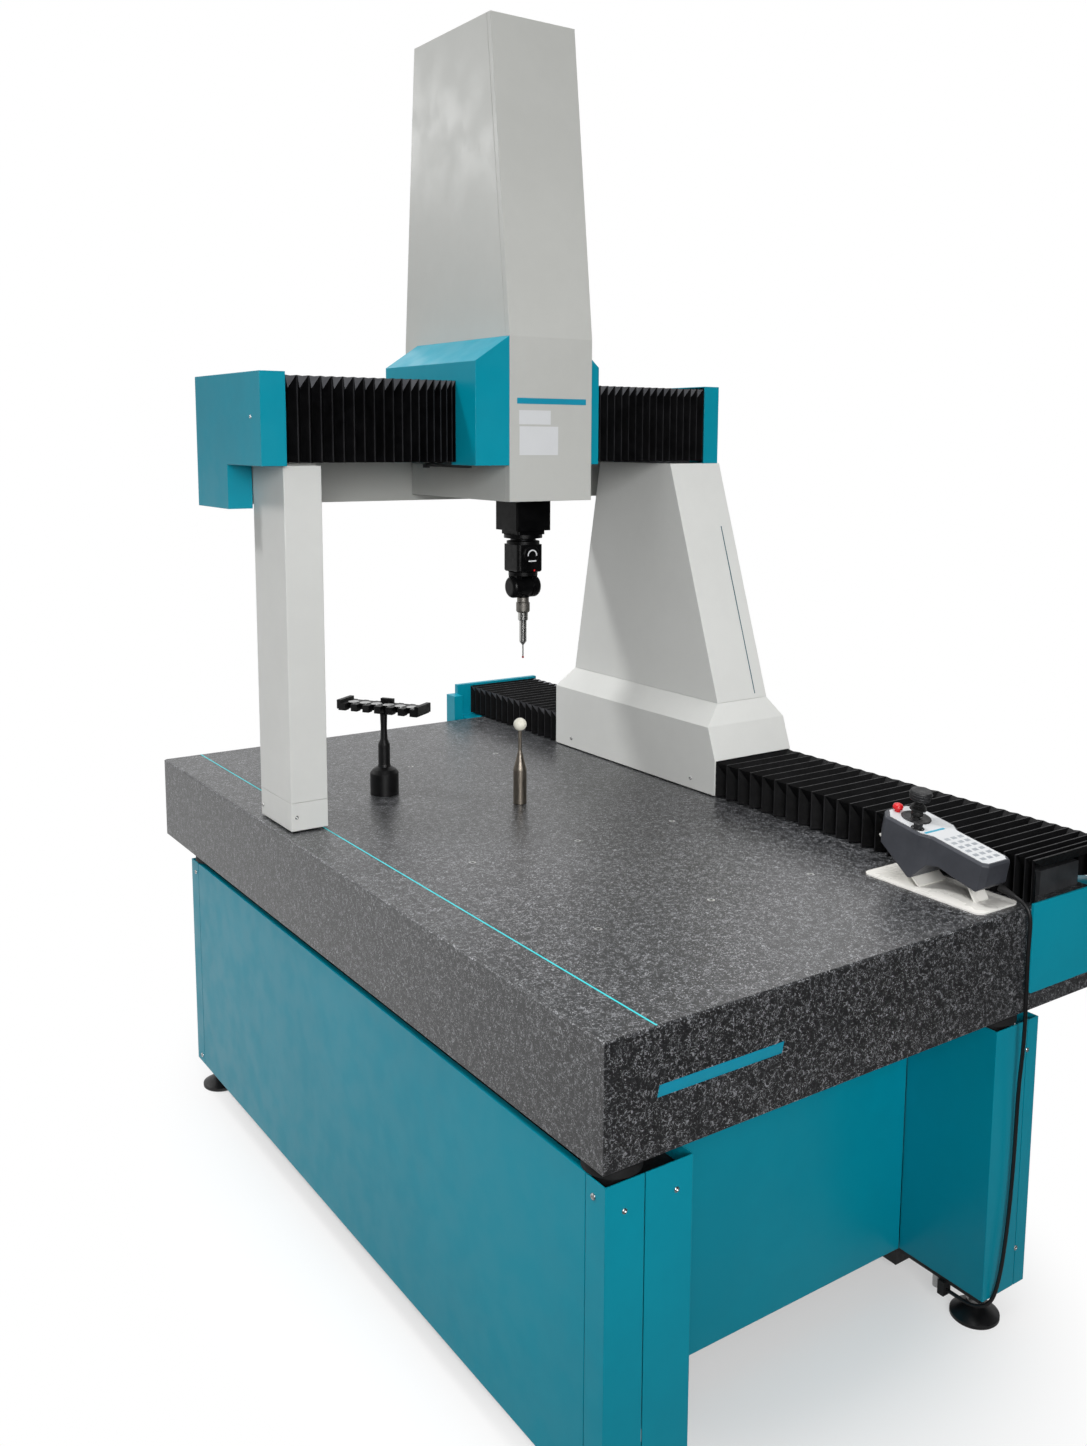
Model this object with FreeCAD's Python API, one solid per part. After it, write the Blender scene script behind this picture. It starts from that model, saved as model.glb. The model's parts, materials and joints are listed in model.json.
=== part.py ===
"""Bridge coordinate measuring machine: granite table on a steel frame, travelling bridge,
X carriage with Z column and ram, motorised probe head, joystick pendant, reference sphere
and probe change rack.

Sizes are in millimetres.  The model is drawn from the front left top corner of the granite
table (+X right, +Y to the rear, +Z up) and moved at export so that the origin lies on the
floor under the middle of the machine.
"""
import FreeCAD, Part
import math
import os

V = FreeCAD.Vector

# ---------------------------------------------------------------- driving dimensions
TABLE_HEIGHT = 786.0          # floor to the measuring surface
TABLE_LENGTH = 1825.0         # granite, along Y
TABLE_WIDTH = 1085.0          # granite, along X, including the guide strip on the right
TABLE_THICK = 188.0
TABLE_CHAMFER = 3.0
SHEET = 2.0                   # sheet-steel covers of the base
COVER = 2.5                   # sheet-metal covers of the bridge and the carriage
SEAM = 2.0                    # gap between neighbouring covers
AIR_GAP = 0.3                 # air bearing and seat clearance
SOFT_GAP = 0.5                # bellows to the flange that carries them

# threaded inserts in the table
INSERT_R = 7.0
INSERT_BORE_R = 3.4
INSERT_DEPTH = 18.0
INSERT_X = (230.0, 470.0, 710.0)
INSERT_Y = (330.0, 730.0, 1430.0)
LINE_X = 90.0                 # tape line that marks the way of the left leg
LINE_WIDTH = 3.0
LINE_THICK = 0.3

# base
BASE_X0, BASE_X1 = 15.0, 963.0
BASE_Y0, BASE_Y1 = 15.0, 1690.0
PANEL_CLEAR = 64.0            # floor to the panels
PANEL_BOTTOM = PANEL_CLEAR - TABLE_HEIGHT
PANEL_TOP = -TABLE_THICK - 30.0
PANEL_RETURN = 12.0
POST_WIDTH = 155.0            # front left cover, along X
PILLAR_WIDTH = 115.0          # front right cover, along X
PILLAR_DEPTH = 189.0          # depth of the recess at the front
STRIP = 45.0                  # corner strips, along Y
STRIP_FRONT = 68.0
PILLAR_STRIP = 28.0
PILLAR_RETURN = 6.0
TUBE = 60.0                   # square tube of the frame
FRAME_CLEAR = 51.0            # floor to the frame
FRAME_BOTTOM = FRAME_CLEAR - TABLE_HEIGHT
FRAME_TOP = -TABLE_THICK - 62.0
RAIL_LIFT = 6.0               # cross rails above the panels' bottom edge
RAIL_DEPTH = 50.0
JACK_BLOCK = 32.0             # transport block under the right rail
BRACKET = 40.0                # height of the bars that carry the covers
DAMPER_R = 44.0
DAMPER_NECK_R = 27.0
STUD_R = 10.0
NUT_FLATS = 32.0
NUT_HEIGHT = 16.0
DISC_R = 44.0
DISC_RIM = 8.0
DISC_HEIGHT = 24.0
DISC_HUB_R = 17.0

# Y guide on the right of the table
GUIDE_X0, GUIDE_X1 = 905.0, 1125.0      # outer faces of the Y bellows
RAIL_X0, RAIL_X1 = 960.0, 1070.0
RAIL_HEIGHT = 45.0
RAIL_END = 25.0
TROUGH_WIDTH = 45.0
CAP_PLATE = 5.0
CAP_FRONT_BOTTOM = -155.0
GUIDE_OVERHANG = 75.0         # rear end box behind the granite
Y_BELLOWS_HEIGHT = 80.0
Y_BELLOWS_CORNER = 24.0
Y_PLEAT = 11.0
Y_PLEATS_FRONT = 26
Y_PLEATS_REAR = 15
BELLOWS_WALL = 2.5

# right leg, at its rest place along Y
SKIRT_Y0, SKIRT_Y1 = 817.0, 1441.0
SKIRT_SIDE = 3.5              # skirt stands this far outside the bellows
SKIRT_RIGHT = 5.0
FLANGE_Y0 = SKIRT_Y0 + COVER + AIR_GAP   # outer faces of the two bellows flanges
FLANGE_Y1 = SKIRT_Y1 - COVER - AIR_GAP
FLANGE_THICK = 4.0
SKIRT_LIP = 81.0              # bottom of the skirt's front wall
SKIRT_TOP = 153.0
SKIRT_LEAN = 26.0
CHAMFER_IN = 50.0
CHAMFER_OUT = 30.0
CHAMFER_Y = 26.0
CHAMFER_BACK = 14.0
CHAMFER_HEIGHT = 44.0
LEG_FRONT_TOP = 1052.0
LEG_BACK_TOP = 1326.0

# left leg
LEFT_X0, LEFT_X1 = 19.0, 98.0
LEFT_Y0, LEFT_Y1 = 1080.0, 1239.0
LEFT_FLOAT = 4.0
FOOT_COVER_TOP = 61.0
BEARING_HEIGHT = 13.0
BEARING_R = 29.0

# bridge beam
BRIDGE_BOTTOM = 730.0         # top of the legs' covers
BEAM_Y0, BEAM_Y1 = 1150.0, 1340.0
BEAM_Z0, BEAM_Z1 = 745.0, 880.0
CAP_TOP = 908.0
CAP_LOW = 641.0
CAP_FRONT, CAP_STEP, CAP_BACK = 1058.0, 1240.0, 1415.0
LEFT_CAP_X0, LEFT_CAP_X1 = -33.0, 18.0
RIGHT_CAP_X0, RIGHT_CAP_X1 = 1057.0, 1100.0
X_BELLOWS_Y0, X_BELLOWS_Y1 = 1062.0, 1374.0
X_BELLOWS_Z0, X_BELLOWS_Z1 = 736.0, 902.0
X_PLEAT = 16.0
X_PLEATS_LEFT = 19
X_PLEATS_RIGHT = 16

# carriage, at its rest place along X
SIDE_X0, SIDE_X1 = 390.0, 737.0         # outer faces of the coloured side covers
COL_X0, COL_X1 = 471.0, 677.0           # column
COL_FRONT = 983.0
COL_FRONT_TOP = 1056.0
COL_BACK_TOP = 1378.0
COL_BACK_RIDGE = 1434.0
COL_TOP = 1635.0
SADDLE_BOTTOM = 655.0
SADDLE_BACK = 1409.0
SIDE_EDGE = 939.0             # outer edge of the side covers' sloped top
RIDGE = 992.0                 # where the slope meets the column
RIGHT_SIDE_FRONT = 1040.0
COLUMN_SEAM = 14.0            # width of the front cover's returns
BRIDGE_CLEAR = 6.0            # carriage covers to the bridge's covers
BLOCK_INSET = COVER + AIR_GAP   # casting to the outside of its covers

# ram and probe head
RAM_Y = 1092.0
RAM = 88.0
RAM_BOTTOM = 588.0
RAM_LENGTH = 890.0
RAM_WALL = 10.0
FLANGE = 70.0
FLANGE_HEIGHT = 9.0
NECK_R = 42.0
NECK_HEIGHT = 22.0
HEAD = 64.0
HEAD_HEIGHT = 60.0
SWIVEL_R = 32.0
SWIVEL_HEIGHT = 8.0
PITCH_DROP = 25.0             # swivel plate to the pitch axis
LOBE_R = 24.0
LOBE_OUT = 36.0
LOBE_IN = 14.0
KNUCKLE_GAP = 0.4
PROBE_R, PROBE_LENGTH = 15.0, 33.0
MODULE_R, MODULE_LENGTH = 11.0, 19.0
HOLDER_R, HOLDER_LENGTH = 8.0, 50.0
STYLUS_R, STYLUS_LENGTH = 1.6, 34.0
TIP_R = 2.5

# reference sphere
SPHERE_X, SPHERE_Y = 518.0, 1016.0
SPHERE_R = 14.2
SPHERE_HEIGHT = 175.0
SPHERE_BODY_R, SPHERE_BODY = 14.5, 76.0
SPHERE_CONE = 118.0
SPHERE_STEM_R = 4.0

# change rack
RACK_X, RACK_Y = 310.0, 1250.0
RACK_TURN = -57.0
RACK_FOOT_R, RACK_FOOT = 31.5, 48.0
RACK_POST = 186.0
RACK_LENGTH, RACK_WIDTH, RACK_THICK = 197.0, 56.0, 16.0
RACK_BAYS = 6
RACK_PORT_R = 11.0

# pendant, resting on its stand
PEND_X, PEND_Y = 849.0, 143.0
PEND_LENGTH = 234.0
PEND_HEAD, PEND_GRIP = 96.0, 72.0
PEND_HEAD_LENGTH = 106.0
PEND_TILT = 10.3
PEND_FACE = 100.6             # height of the face at the middle of the case
PEND_EDGE = 4.0               # bevel between the face and the sides
# underside of the case along its length, as (along, below the face)
PEND_UNDERSIDE = [(-118.0, 40.0), (-106.0, 53.0), (-60.0, 50.0), (-24.0, 46.0), (2.0, 56.0),
                  (20.0, 86.0), (26.0, 88.0), (112.0, 44.0), (121.0, 30.0)]
PLATE_RIM = 5.0
PLATE_THICK = 1.5
STAND_X0, STAND_X1 = 792.0, 899.0
STAND_Y0, STAND_Y1 = 20.0, 280.0
STAND_SHEET = 3.0
RELIEF_LENGTH = 30.0
RELIEF_R = 7.0

CABLE_D = 7.0
# hand-chosen route of the pendant's cable, from the strain relief to the gland in the base
CABLE_ROUTE = [
    (880.0, 18.0, 17.0), (883.0, -3.5, 9.5), (884.0, -13.0, -12.0), (885.0, -12.0, -42.0),
    (887.0, -9.5, -86.0), (892.0, -7.5, -150.0), (895.5, -6.0, -240.0), (897.0, 1.0, -330.0),
    (900.0, 3.5, -430.0), (898.0, 4.5, -530.0), (889.0, 4.0, -620.0), (877.0, 4.5, -690.0),
    (867.0, 12.0, -733.0), (861.0, 42.0, -752.0), (859.5, 76.0, -752.0), (859.5, 100.0, -752.0)]


# ---------------------------------------------------------------- helpers
def box(x0, x1, y0, y1, z0, z1):
    return Part.makeBox(x1 - x0, y1 - y0, z1 - z0, V(x0, y0, z0))


def rod(radius, start, end):
    start, end = V(*start), V(*end)
    return Part.makeCylinder(radius, (end - start).Length, start, end - start)


def face_of(points):
    return Part.Face(Part.makePolygon([V(*p) for p in points] + [V(*points[0])]))


def along_x(profile, x0, x1):
    """Extrude a (y, z) outline from x0 to x1."""
    return face_of([(x0, y, z) for y, z in profile]).extrude(V(x1 - x0, 0, 0))


def along_y(profile, y0, y1):
    """Extrude an (x, z) outline from y0 to y1."""
    return face_of([(x, y0, z) for x, z in profile]).extrude(V(0, y1 - y0, 0))


def along_z(profile, z0, z1):
    """Extrude an (x, y) outline from z0 to z1."""
    return face_of([(x, y, z0) for x, y in profile]).extrude(V(0, 0, z1 - z0))


def inward(profile, distance):
    """Move a closed outline inward by a distance, mitring its corners."""
    wire = Part.makePolygon([V(a, b, 0) for a, b in profile + profile[:1]])
    ring = wire.makeOffset2D(-distance, 2, False, False)
    if Part.Face(ring).Area > Part.Face(wire).Area:
        ring = wire.makeOffset2D(distance, 2, False, False)
    return [(v.Point.x, v.Point.y) for v in ring.OrderedVertexes]


def loft(sections):
    """Ruled solid through closed sections given as lists of points."""
    wires = [Part.makePolygon([V(*p) for p in s] + [V(*s[0])]) for s in sections]
    return Part.makeLoft(wires, True, True)


def rectangle(x0, x1, y0, y1, z):
    return [(x0, y0, z), (x1, y0, z), (x1, y1, z), (x0, y1, z)]


def turned(points, x, y):
    """Solid of revolution about a vertical axis from (radius, z) points."""
    outline = face_of([(r, 0, z) for r, z in points])
    solid = outline.revolve(V(0, 0, 0), V(0, 0, 1), 360)
    solid.translate(V(x, y, 0))
    return solid


def edges_along(solid, direction, test=lambda point: True):
    """Straight edges parallel to a direction whose midpoint passes a test."""
    found = []
    for edge in solid.Edges:
        if not isinstance(edge.Curve, Part.Line):
            continue
        if abs(abs(edge.tangentAt(edge.FirstParameter).dot(direction)) - 1) > 1e-6:
            continue
        if test(edge.CenterOfMass):
            found.append(edge)
    return found


def tray(x0, x1, y0, y1, z0, z1, side, sheet=SHEET):
    """Folded panel: a plate with returns on four sides, open on the side opposite its face."""
    outer = box(x0, x1, y0, y1, z0, z1)
    low = {"-x": (x0 + sheet, x1 + 1), "+x": (x0 - 1, x1 - sheet)}.get(side, (x0 + sheet, x1 - sheet))
    mid = {"-y": (y0 + sheet, y1 + 1), "+y": (y0 - 1, y1 - sheet)}.get(side, (y0 + sheet, y1 - sheet))
    return outer.cut(box(low[0], low[1], mid[0], mid[1], z0 + sheet, z1 - sheet))


def group(solids):
    return Part.makeCompound(solids)


# ---------------------------------------------------------------- table and base
POST_INSET = PANEL_RETURN + AIR_GAP
LEFT_POST_X = BASE_X0 + POST_INSET
RIGHT_POST_X = BASE_X1 - PILLAR_WIDTH + SHEET + 5.0
FRONT_POST_Y = BASE_Y0 + POST_INSET
REAR_POST_Y = BASE_Y1 - POST_INSET - TUBE
POST_CENTRES = [(x + TUBE / 2, y + TUBE / 2) for x in (LEFT_POST_X, RIGHT_POST_X)
                for y in (FRONT_POST_Y, REAR_POST_Y)]
RECESS_Y = BASE_Y0 + PILLAR_DEPTH
RECESS_X0 = BASE_X0 + POST_WIDTH
RECESS_X1 = BASE_X1 - PILLAR_WIDTH


def granite_table():
    slab = box(0, TABLE_WIDTH, 0, TABLE_LENGTH, -TABLE_THICK, 0)
    rim = [e for e in slab.Edges if abs(e.CenterOfMass.z) < 1e-6]
    slab = slab.makeChamfer(TABLE_CHAMFER, rim)
    for x in INSERT_X:
        for y in INSERT_Y:
            slab = slab.cut(rod(INSERT_R, (x, y, -INSERT_DEPTH), (x, y, 1)))
    return slab


def table_inserts():
    sleeves = []
    for x in INSERT_X:
        for y in INSERT_Y:
            sleeve = rod(INSERT_R - 0.05, (x, y, -INSERT_DEPTH), (x, y, -0.2))
            sleeves.append(sleeve.cut(rod(INSERT_BORE_R, (x, y, -INSERT_DEPTH), (x, y, 0))))
    return group(sleeves)


def track_line():
    half = LINE_WIDTH / 2
    return box(LINE_X - half, LINE_X + half, TABLE_CHAMFER, TABLE_LENGTH - TABLE_CHAMFER, 0, LINE_THICK)


def frame_posts():
    """Square tube posts with the short bars that carry the covers round them."""
    solids = []
    for x, y in POST_CENTRES:
        half = TUBE / 2
        post = box(x - half, x + half, y - half, y + half, FRAME_BOTTOM, FRAME_TOP)
        post = post.cut(box(x - half + 4, x + half - 4, y - half + 4, y + half - 4,
                            FRAME_BOTTOM + 8, FRAME_TOP - 8))
        front, left = y < TABLE_LENGTH / 2, x < TABLE_WIDTH / 2
        skin = SHEET + AIR_GAP
        for z in (PANEL_BOTTOM + BRACKET, (PANEL_BOTTOM + FRAME_TOP) / 2, FRAME_TOP - 1.5 * BRACKET):
            if front:
                post = post.fuse(box(x - 12, x + 40, BASE_Y0 + skin, y - half, z, z + BRACKET))
            elif left:
                post = post.fuse(box(x - half + 3, x, y + half, BASE_Y1 - skin, z, z + BRACKET))
        solids.append(post.removeSplitter())
    return group(solids)


def frame_rails():
    """Lower and upper frame, with stub bars out to the right side panel."""
    rails = []
    reach = BASE_X1 - SHEET - AIR_GAP
    for z0 in (FRAME_BOTTOM, FRAME_TOP - RAIL_DEPTH):
        z1 = z0 + RAIL_DEPTH
        left = box(LEFT_POST_X, LEFT_POST_X + TUBE, FRONT_POST_Y + TUBE, REAR_POST_Y, z0, z1)
        right = box(RIGHT_POST_X, RIGHT_POST_X + TUBE, FRONT_POST_Y + TUBE, REAR_POST_Y, z0, z1)
        for y in (FRONT_POST_Y + TUBE + 60, TABLE_LENGTH / 2, REAR_POST_Y - 100):
            right = right.fuse(box(RIGHT_POST_X + TUBE, reach, y, y + BRACKET, z0 + 16, z1))
        front_y = RECESS_Y + PANEL_RETURN + AIR_GAP
        if z0 == FRAME_BOTTOM:
            right = right.fuse(box(RIGHT_POST_X, RIGHT_POST_X + TUBE, front_y, front_y + TUBE, z0 - JACK_BLOCK, z0))
        rails += [left, right.removeSplitter()]
        for y in (front_y, REAR_POST_Y - TUBE):
            rails.append(box(LEFT_POST_X + TUBE, RIGHT_POST_X, y, y + TUBE, max(z0, PANEL_BOTTOM + RAIL_LIFT), z1))
    return group(rails)


def damper_mounts():
    """Rubber mounts under the granite, each on the closing plate of its post."""
    mounts = []
    for x, y in POST_CENTRES:
        front = y < TABLE_LENGTH / 2
        wide = RECESS_X0 - SHEET - AIR_GAP if x < TABLE_WIDTH / 2 else BASE_X1 - PILLAR_STRIP
        deep = RECESS_Y - SHEET - 2 if front else y + TUBE / 2
        plate = box(x - TUBE / 2, wide, y - TUBE / 2, deep, FRAME_TOP, FRAME_TOP + 5)
        top = PANEL_TOP + 4
        rubber = turned([(0, FRAME_TOP + 5), (DAMPER_NECK_R, FRAME_TOP + 5), (DAMPER_NECK_R, top),
                         (DAMPER_R, top), (DAMPER_R, -TABLE_THICK), (0, -TABLE_THICK)], x, y)
        mounts.append(plate.fuse(rubber).removeSplitter())
    return group(mounts)


def foot_studs():
    """Levelling studs with lock nuts, and one transport jack stud beside the right pillar."""
    studs = []
    disc_top = DISC_HEIGHT - TABLE_HEIGHT
    for x, y in POST_CENTRES:
        stud = rod(STUD_R, (x, y, disc_top), (x, y, FRAME_BOTTOM))
        corners = [(x + NUT_FLATS / math.sqrt(3) * math.cos(math.radians(60 * k)),
                    y + NUT_FLATS / math.sqrt(3) * math.sin(math.radians(60 * k))) for k in range(6)]
        studs.append(stud.fuse(along_z(corners, FRAME_BOTTOM - NUT_HEIGHT, FRAME_BOTTOM)))
    jack = (RIGHT_POST_X + STUD_R + 3, FRONT_POST_Y + TUBE + 40)
    studs.append(rod(STUD_R, (jack[0], jack[1], FRAME_BOTTOM - 26), (jack[0], jack[1], FRAME_BOTTOM)))
    return group(studs)


def foot_discs():
    floor = -TABLE_HEIGHT
    profile = [(0, floor), (DISC_R - 2, floor), (DISC_R, floor + 2), (DISC_R, floor + DISC_RIM),
               (DISC_HUB_R, floor + DISC_HEIGHT), (0, floor + DISC_HEIGHT)]
    return group([turned(profile, x, y) for x, y in POST_CENTRES])


def left_side_panel():
    return tray(BASE_X0, BASE_X0 + PANEL_RETURN, BASE_Y0 + STRIP + SEAM, BASE_Y1 - STRIP - SEAM,
                PANEL_BOTTOM, PANEL_TOP, "-x")


def angle(corner, leg_x, leg_y):
    """Upright folded angle: a corner point with one leg along X and one along Y."""
    x, y = corner
    sx, sy = math.copysign(1, leg_x), math.copysign(1, leg_y)
    outline = [(x, y), (x + leg_x, y), (x + leg_x, y + sy * SHEET), (x + sx * SHEET, y + sy * SHEET),
               (x + sx * SHEET, y + leg_y), (x, y + leg_y)]
    return along_z(outline, PANEL_BOTTOM, PANEL_TOP)


def left_corner_strips():
    return group([angle((BASE_X0, BASE_Y0), STRIP_FRONT, STRIP),
                  angle((BASE_X0, BASE_Y1), STRIP, -STRIP)])


def front_left_post_cover():
    x0, x1 = BASE_X0 + STRIP_FRONT + SEAM, RECESS_X0
    cover = angle((x1, BASE_Y0), x0 - x1, PILLAR_DEPTH)
    flange = box(x1 - PANEL_RETURN, x1, RECESS_Y - SHEET, RECESS_Y, PANEL_BOTTOM, PANEL_TOP)
    return cover.fuse(flange).removeSplitter()


def kneehole_panel():
    return tray(RECESS_X0 + SEAM, RECESS_X1 - SEAM, RECESS_Y, RECESS_Y + PANEL_RETURN,
                PANEL_BOTTOM, PANEL_TOP, "-y")


def right_pillar_cover():
    """Cover of the front right post and its corner strip, joined behind the seam."""
    seam_x = BASE_X1 - PILLAR_STRIP
    inner = angle((RECESS_X1, BASE_Y0), seam_x - SEAM - RECESS_X1, PILLAR_DEPTH)
    flange = box(RECESS_X1, RECESS_X1 + PILLAR_RETURN, RECESS_Y - SHEET, RECESS_Y, PANEL_BOTTOM, PANEL_TOP)
    strip = angle((BASE_X1, BASE_Y0), seam_x - BASE_X1, STRIP)
    backing = box(seam_x - SEAM - 5, seam_x + 5, BASE_Y0 + SHEET, BASE_Y0 + SHEET + 1.5, PANEL_BOTTOM, PANEL_TOP)
    return inner.fuse([flange, strip, backing]).removeSplitter()


def right_side_panel():
    return tray(BASE_X1 - PANEL_RETURN, BASE_X1, BASE_Y0 + STRIP + SEAM, BASE_Y1, PANEL_BOTTOM, PANEL_TOP, "+x")


def rear_panel():
    return tray(BASE_X0 + STRIP + SEAM, BASE_X1 - PANEL_RETURN - SEAM, BASE_Y1 - PANEL_RETURN, BASE_Y1,
                PANEL_BOTTOM, PANEL_TOP, "+y")


# ---------------------------------------------------------------- Y guide
def y_guide_rail():
    rail = box(RAIL_X0, RAIL_X1, RAIL_END, TABLE_LENGTH - RAIL_END, 0, RAIL_HEIGHT)
    top = edges_along(rail, V(0, 1, 0), lambda p: p.z > RAIL_HEIGHT - 1)
    return rail.makeChamfer(2.0, top)


def y_drive_trough():
    """Folded cover along the right edge of the granite, open towards it."""
    x0, x1 = TABLE_WIDTH, TABLE_WIDTH + TROUGH_WIDTH
    z0, z1 = -TABLE_THICK, -SEAM
    section = [(x0, z0), (x1, z0), (x1, z1), (x0, z1), (x0, z1 - SHEET), (x1 - SHEET, z1 - SHEET),
               (x1 - SHEET, z0 + SHEET), (x0, z0 + SHEET)]
    return along_y(section, 0, TABLE_LENGTH)


def y_end_cap_front():
    cap = box(GUIDE_X0 - SEAM, TABLE_WIDTH + TROUGH_WIDTH, -CAP_PLATE, 0, CAP_FRONT_BOTTOM, CAP_PLATE)
    return cap.makeFillet(6.0, edges_along(cap, V(0, 1, 0), lambda p: p.z < 0))


def y_end_cap_rear():
    x0, x1 = GUIDE_X0 - 43.0, TABLE_WIDTH + TROUGH_WIDTH
    y0, y1 = TABLE_LENGTH, TABLE_LENGTH + GUIDE_OVERHANG
    body = box(x0, x1, y0, y1, -TABLE_THICK, -SEAM)
    body = body.cut(box(x0 + SHEET, x1 - SHEET, y0 - 1, y1 - SHEET, SHEET - TABLE_THICK, -SEAM - SHEET))
    plate = box(x0, x1, y1 - 3 * CAP_PLATE, y1, -SEAM - 0.5, Y_BELLOWS_HEIGHT + 6)
    side = box(x0 - 27, x0, y1 - 45, y1, CAP_FRONT_BOTTOM, Y_BELLOWS_HEIGHT - 20)
    return body.fuse([plate, side]).removeSplitter()


def y_section(y, inset):
    """Hat section of the Y bellows: two walls, bevelled top corners and a top."""
    def ring(shift):
        left, right, top = GUIDE_X0 + shift, GUIDE_X1 - shift, Y_BELLOWS_HEIGHT - shift
        corner = Y_BELLOWS_CORNER
        return [(left, 2.0), (left, top - corner), (left + corner, top), (right - corner, top),
                (right, top - corner), (right, 2.0)]
    outer, inner = ring(inset), ring(inset + BELLOWS_WALL)
    return [(x, y, z) for x, z in outer + inner[::-1]]


def folds(start, end, pleats, growth):
    """Alternating crest and valley stations from the narrow end to the wide end."""
    steps = 2 * pleats
    stations = []
    for k in range(steps + 1):
        stations.append((start + (end - start) * (k / steps) ** growth, k % 2 == 0))
    return stations


def y_bellows(start, end, pleats, growth):
    stations = folds(start, end, pleats, growth)
    return loft([y_section(y, 0.0 if crest else Y_PLEAT) for y, crest in stations])


def y_bellows_front():
    start, plate = AIR_GAP, 3.0
    cover = y_bellows(start + plate, FLANGE_Y0 - SOFT_GAP, Y_PLEATS_FRONT, 1.22)
    outline = [(x, z) for x, _, z in y_section(start, 0.0)[:6]]
    return cover.fuse(along_y(outline, start, start + plate)).removeSplitter()


def y_bellows_rear():
    end = TABLE_LENGTH + GUIDE_OVERHANG - 3 * CAP_PLATE - SOFT_GAP
    return y_bellows(end, FLANGE_Y1 + SOFT_GAP, Y_PLEATS_REAR, 1.05)


# ---------------------------------------------------------------- bridge: legs
SKIRT_X0, SKIRT_X1 = GUIDE_X0 - SKIRT_SIDE, GUIDE_X1 + SKIRT_RIGHT
LEG_X0, LEG_X1 = SKIRT_X0 + CHAMFER_IN, SKIRT_X1 - CHAMFER_OUT
LEG_BASE = SKIRT_TOP + CHAMFER_HEIGHT
LEG_FRONT_BASE = SKIRT_Y0 + SKIRT_LEAN + CHAMFER_Y
LEG_BACK_BASE = SKIRT_Y1 - CHAMFER_BACK
RIGHT_BED = RAIL_HEIGHT + AIR_GAP + BEARING_HEIGHT      # underside of the right base plate


def skirt_sections(inset, bottom):
    x0, x1 = SKIRT_X0 + inset, SKIRT_X1 - inset
    y0, y1 = SKIRT_Y0 + inset, SKIRT_Y1 - inset
    return [rectangle(x0, x1, y0, y1, bottom), rectangle(x0, x1, y0, y1, SKIRT_LIP),
            rectangle(x0, x1, y0 + SKIRT_LEAN, y1, SKIRT_TOP),
            rectangle(LEG_X0 + inset, LEG_X1 - inset, LEG_FRONT_BASE + inset, LEG_BACK_BASE - inset, LEG_BASE)]


def right_leg_skirt():
    """Flared cover at the foot of the right leg, cut out for the bellows and the guide rail."""
    shell = loft(skirt_sections(0.0, 3.0)).cut(loft(skirt_sections(COVER, 2.0)))
    x0, x1 = GUIDE_X0 - SOFT_GAP, GUIDE_X1 + SOFT_GAP
    shell = shell.cut(box(x0, x1, SKIRT_Y0 - 1, SKIRT_Y0 + COVER + 1, 0, SKIRT_LIP))
    return shell.cut(box(x0, x1, SKIRT_Y1 - COVER - 1, SKIRT_Y1 + 1, 0, SKIRT_LIP))


def leg_sections(inset, z_low, z_high):
    """Tapered leg between two heights, inset from its outer faces."""
    sections = []
    for z in (z_low, z_high):
        share = (z - LEG_BASE) / (BRIDGE_BOTTOM - LEG_BASE)
        y0 = LEG_FRONT_BASE + share * (LEG_FRONT_TOP - LEG_FRONT_BASE)
        y1 = LEG_BACK_BASE + share * (LEG_BACK_TOP - LEG_BACK_BASE)
        sections.append(rectangle(LEG_X0 + inset, LEG_X1 - inset, y0 + inset, y1 - inset, z))
    return sections


def right_leg_cover():
    outer = loft(leg_sections(0.0, LEG_BASE + 0.3, BRIDGE_BOTTOM))
    return outer.cut(loft(leg_sections(COVER, LEG_BASE - 1, BRIDGE_BOTTOM + 1)))


def right_leg_core():
    """Cast leg with its bed plate, bearing cheek and the two flanges that carry the bellows."""
    wall = 24.0
    trunk = loft(leg_sections(wall, RIGHT_BED + 15, BRIDGE_BOTTOM))
    head = box(LEG_X0 + wall, LEG_X1 - wall, BEAM_Y0 - 20, LEG_BACK_TOP - wall, BRIDGE_BOTTOM, BEAM_Z0)
    bed = box(RAIL_X0 - 25, RAIL_X1 + 25, FLANGE_Y0, FLANGE_Y1, RIGHT_BED, RIGHT_BED + 16)
    cheek = box(RAIL_X1 + AIR_GAP + BEARING_HEIGHT, RAIL_X1 + 25, FLANGE_Y0 + 60, FLANGE_Y1 - 60, 10, RIGHT_BED)
    core = trunk.fuse([head, bed, cheek])
    for y in (FLANGE_Y0, FLANGE_Y1 - FLANGE_THICK):
        flange = box(SKIRT_X0 + COVER + AIR_GAP, SKIRT_X1 - COVER - AIR_GAP, y, y + FLANGE_THICK, 4, 79.5)
        core = core.fuse(flange.cut(box(RAIL_X0 - 3, RAIL_X1 + 3, y - 1, y + 5, 0, RAIL_HEIGHT + 3)))
    return core.removeSplitter()


def left_leg_core():
    x = (LEFT_X0 + LEFT_X1) / 2
    half = (LEFT_X1 - LEFT_X0) / 2 - COVER - AIR_GAP
    bottom = AIR_GAP + BEARING_HEIGHT
    y0, y1 = LEFT_Y0 + 20, LEFT_Y1 - 6
    core = box(x - half, x + half, y0, y1, bottom, BEAM_Z0)
    return core.cut(box(x - half + 8, x + half - 8, y0 + 8, y1 - 8, bottom + 12, BEAM_Z0 - 12))


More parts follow.
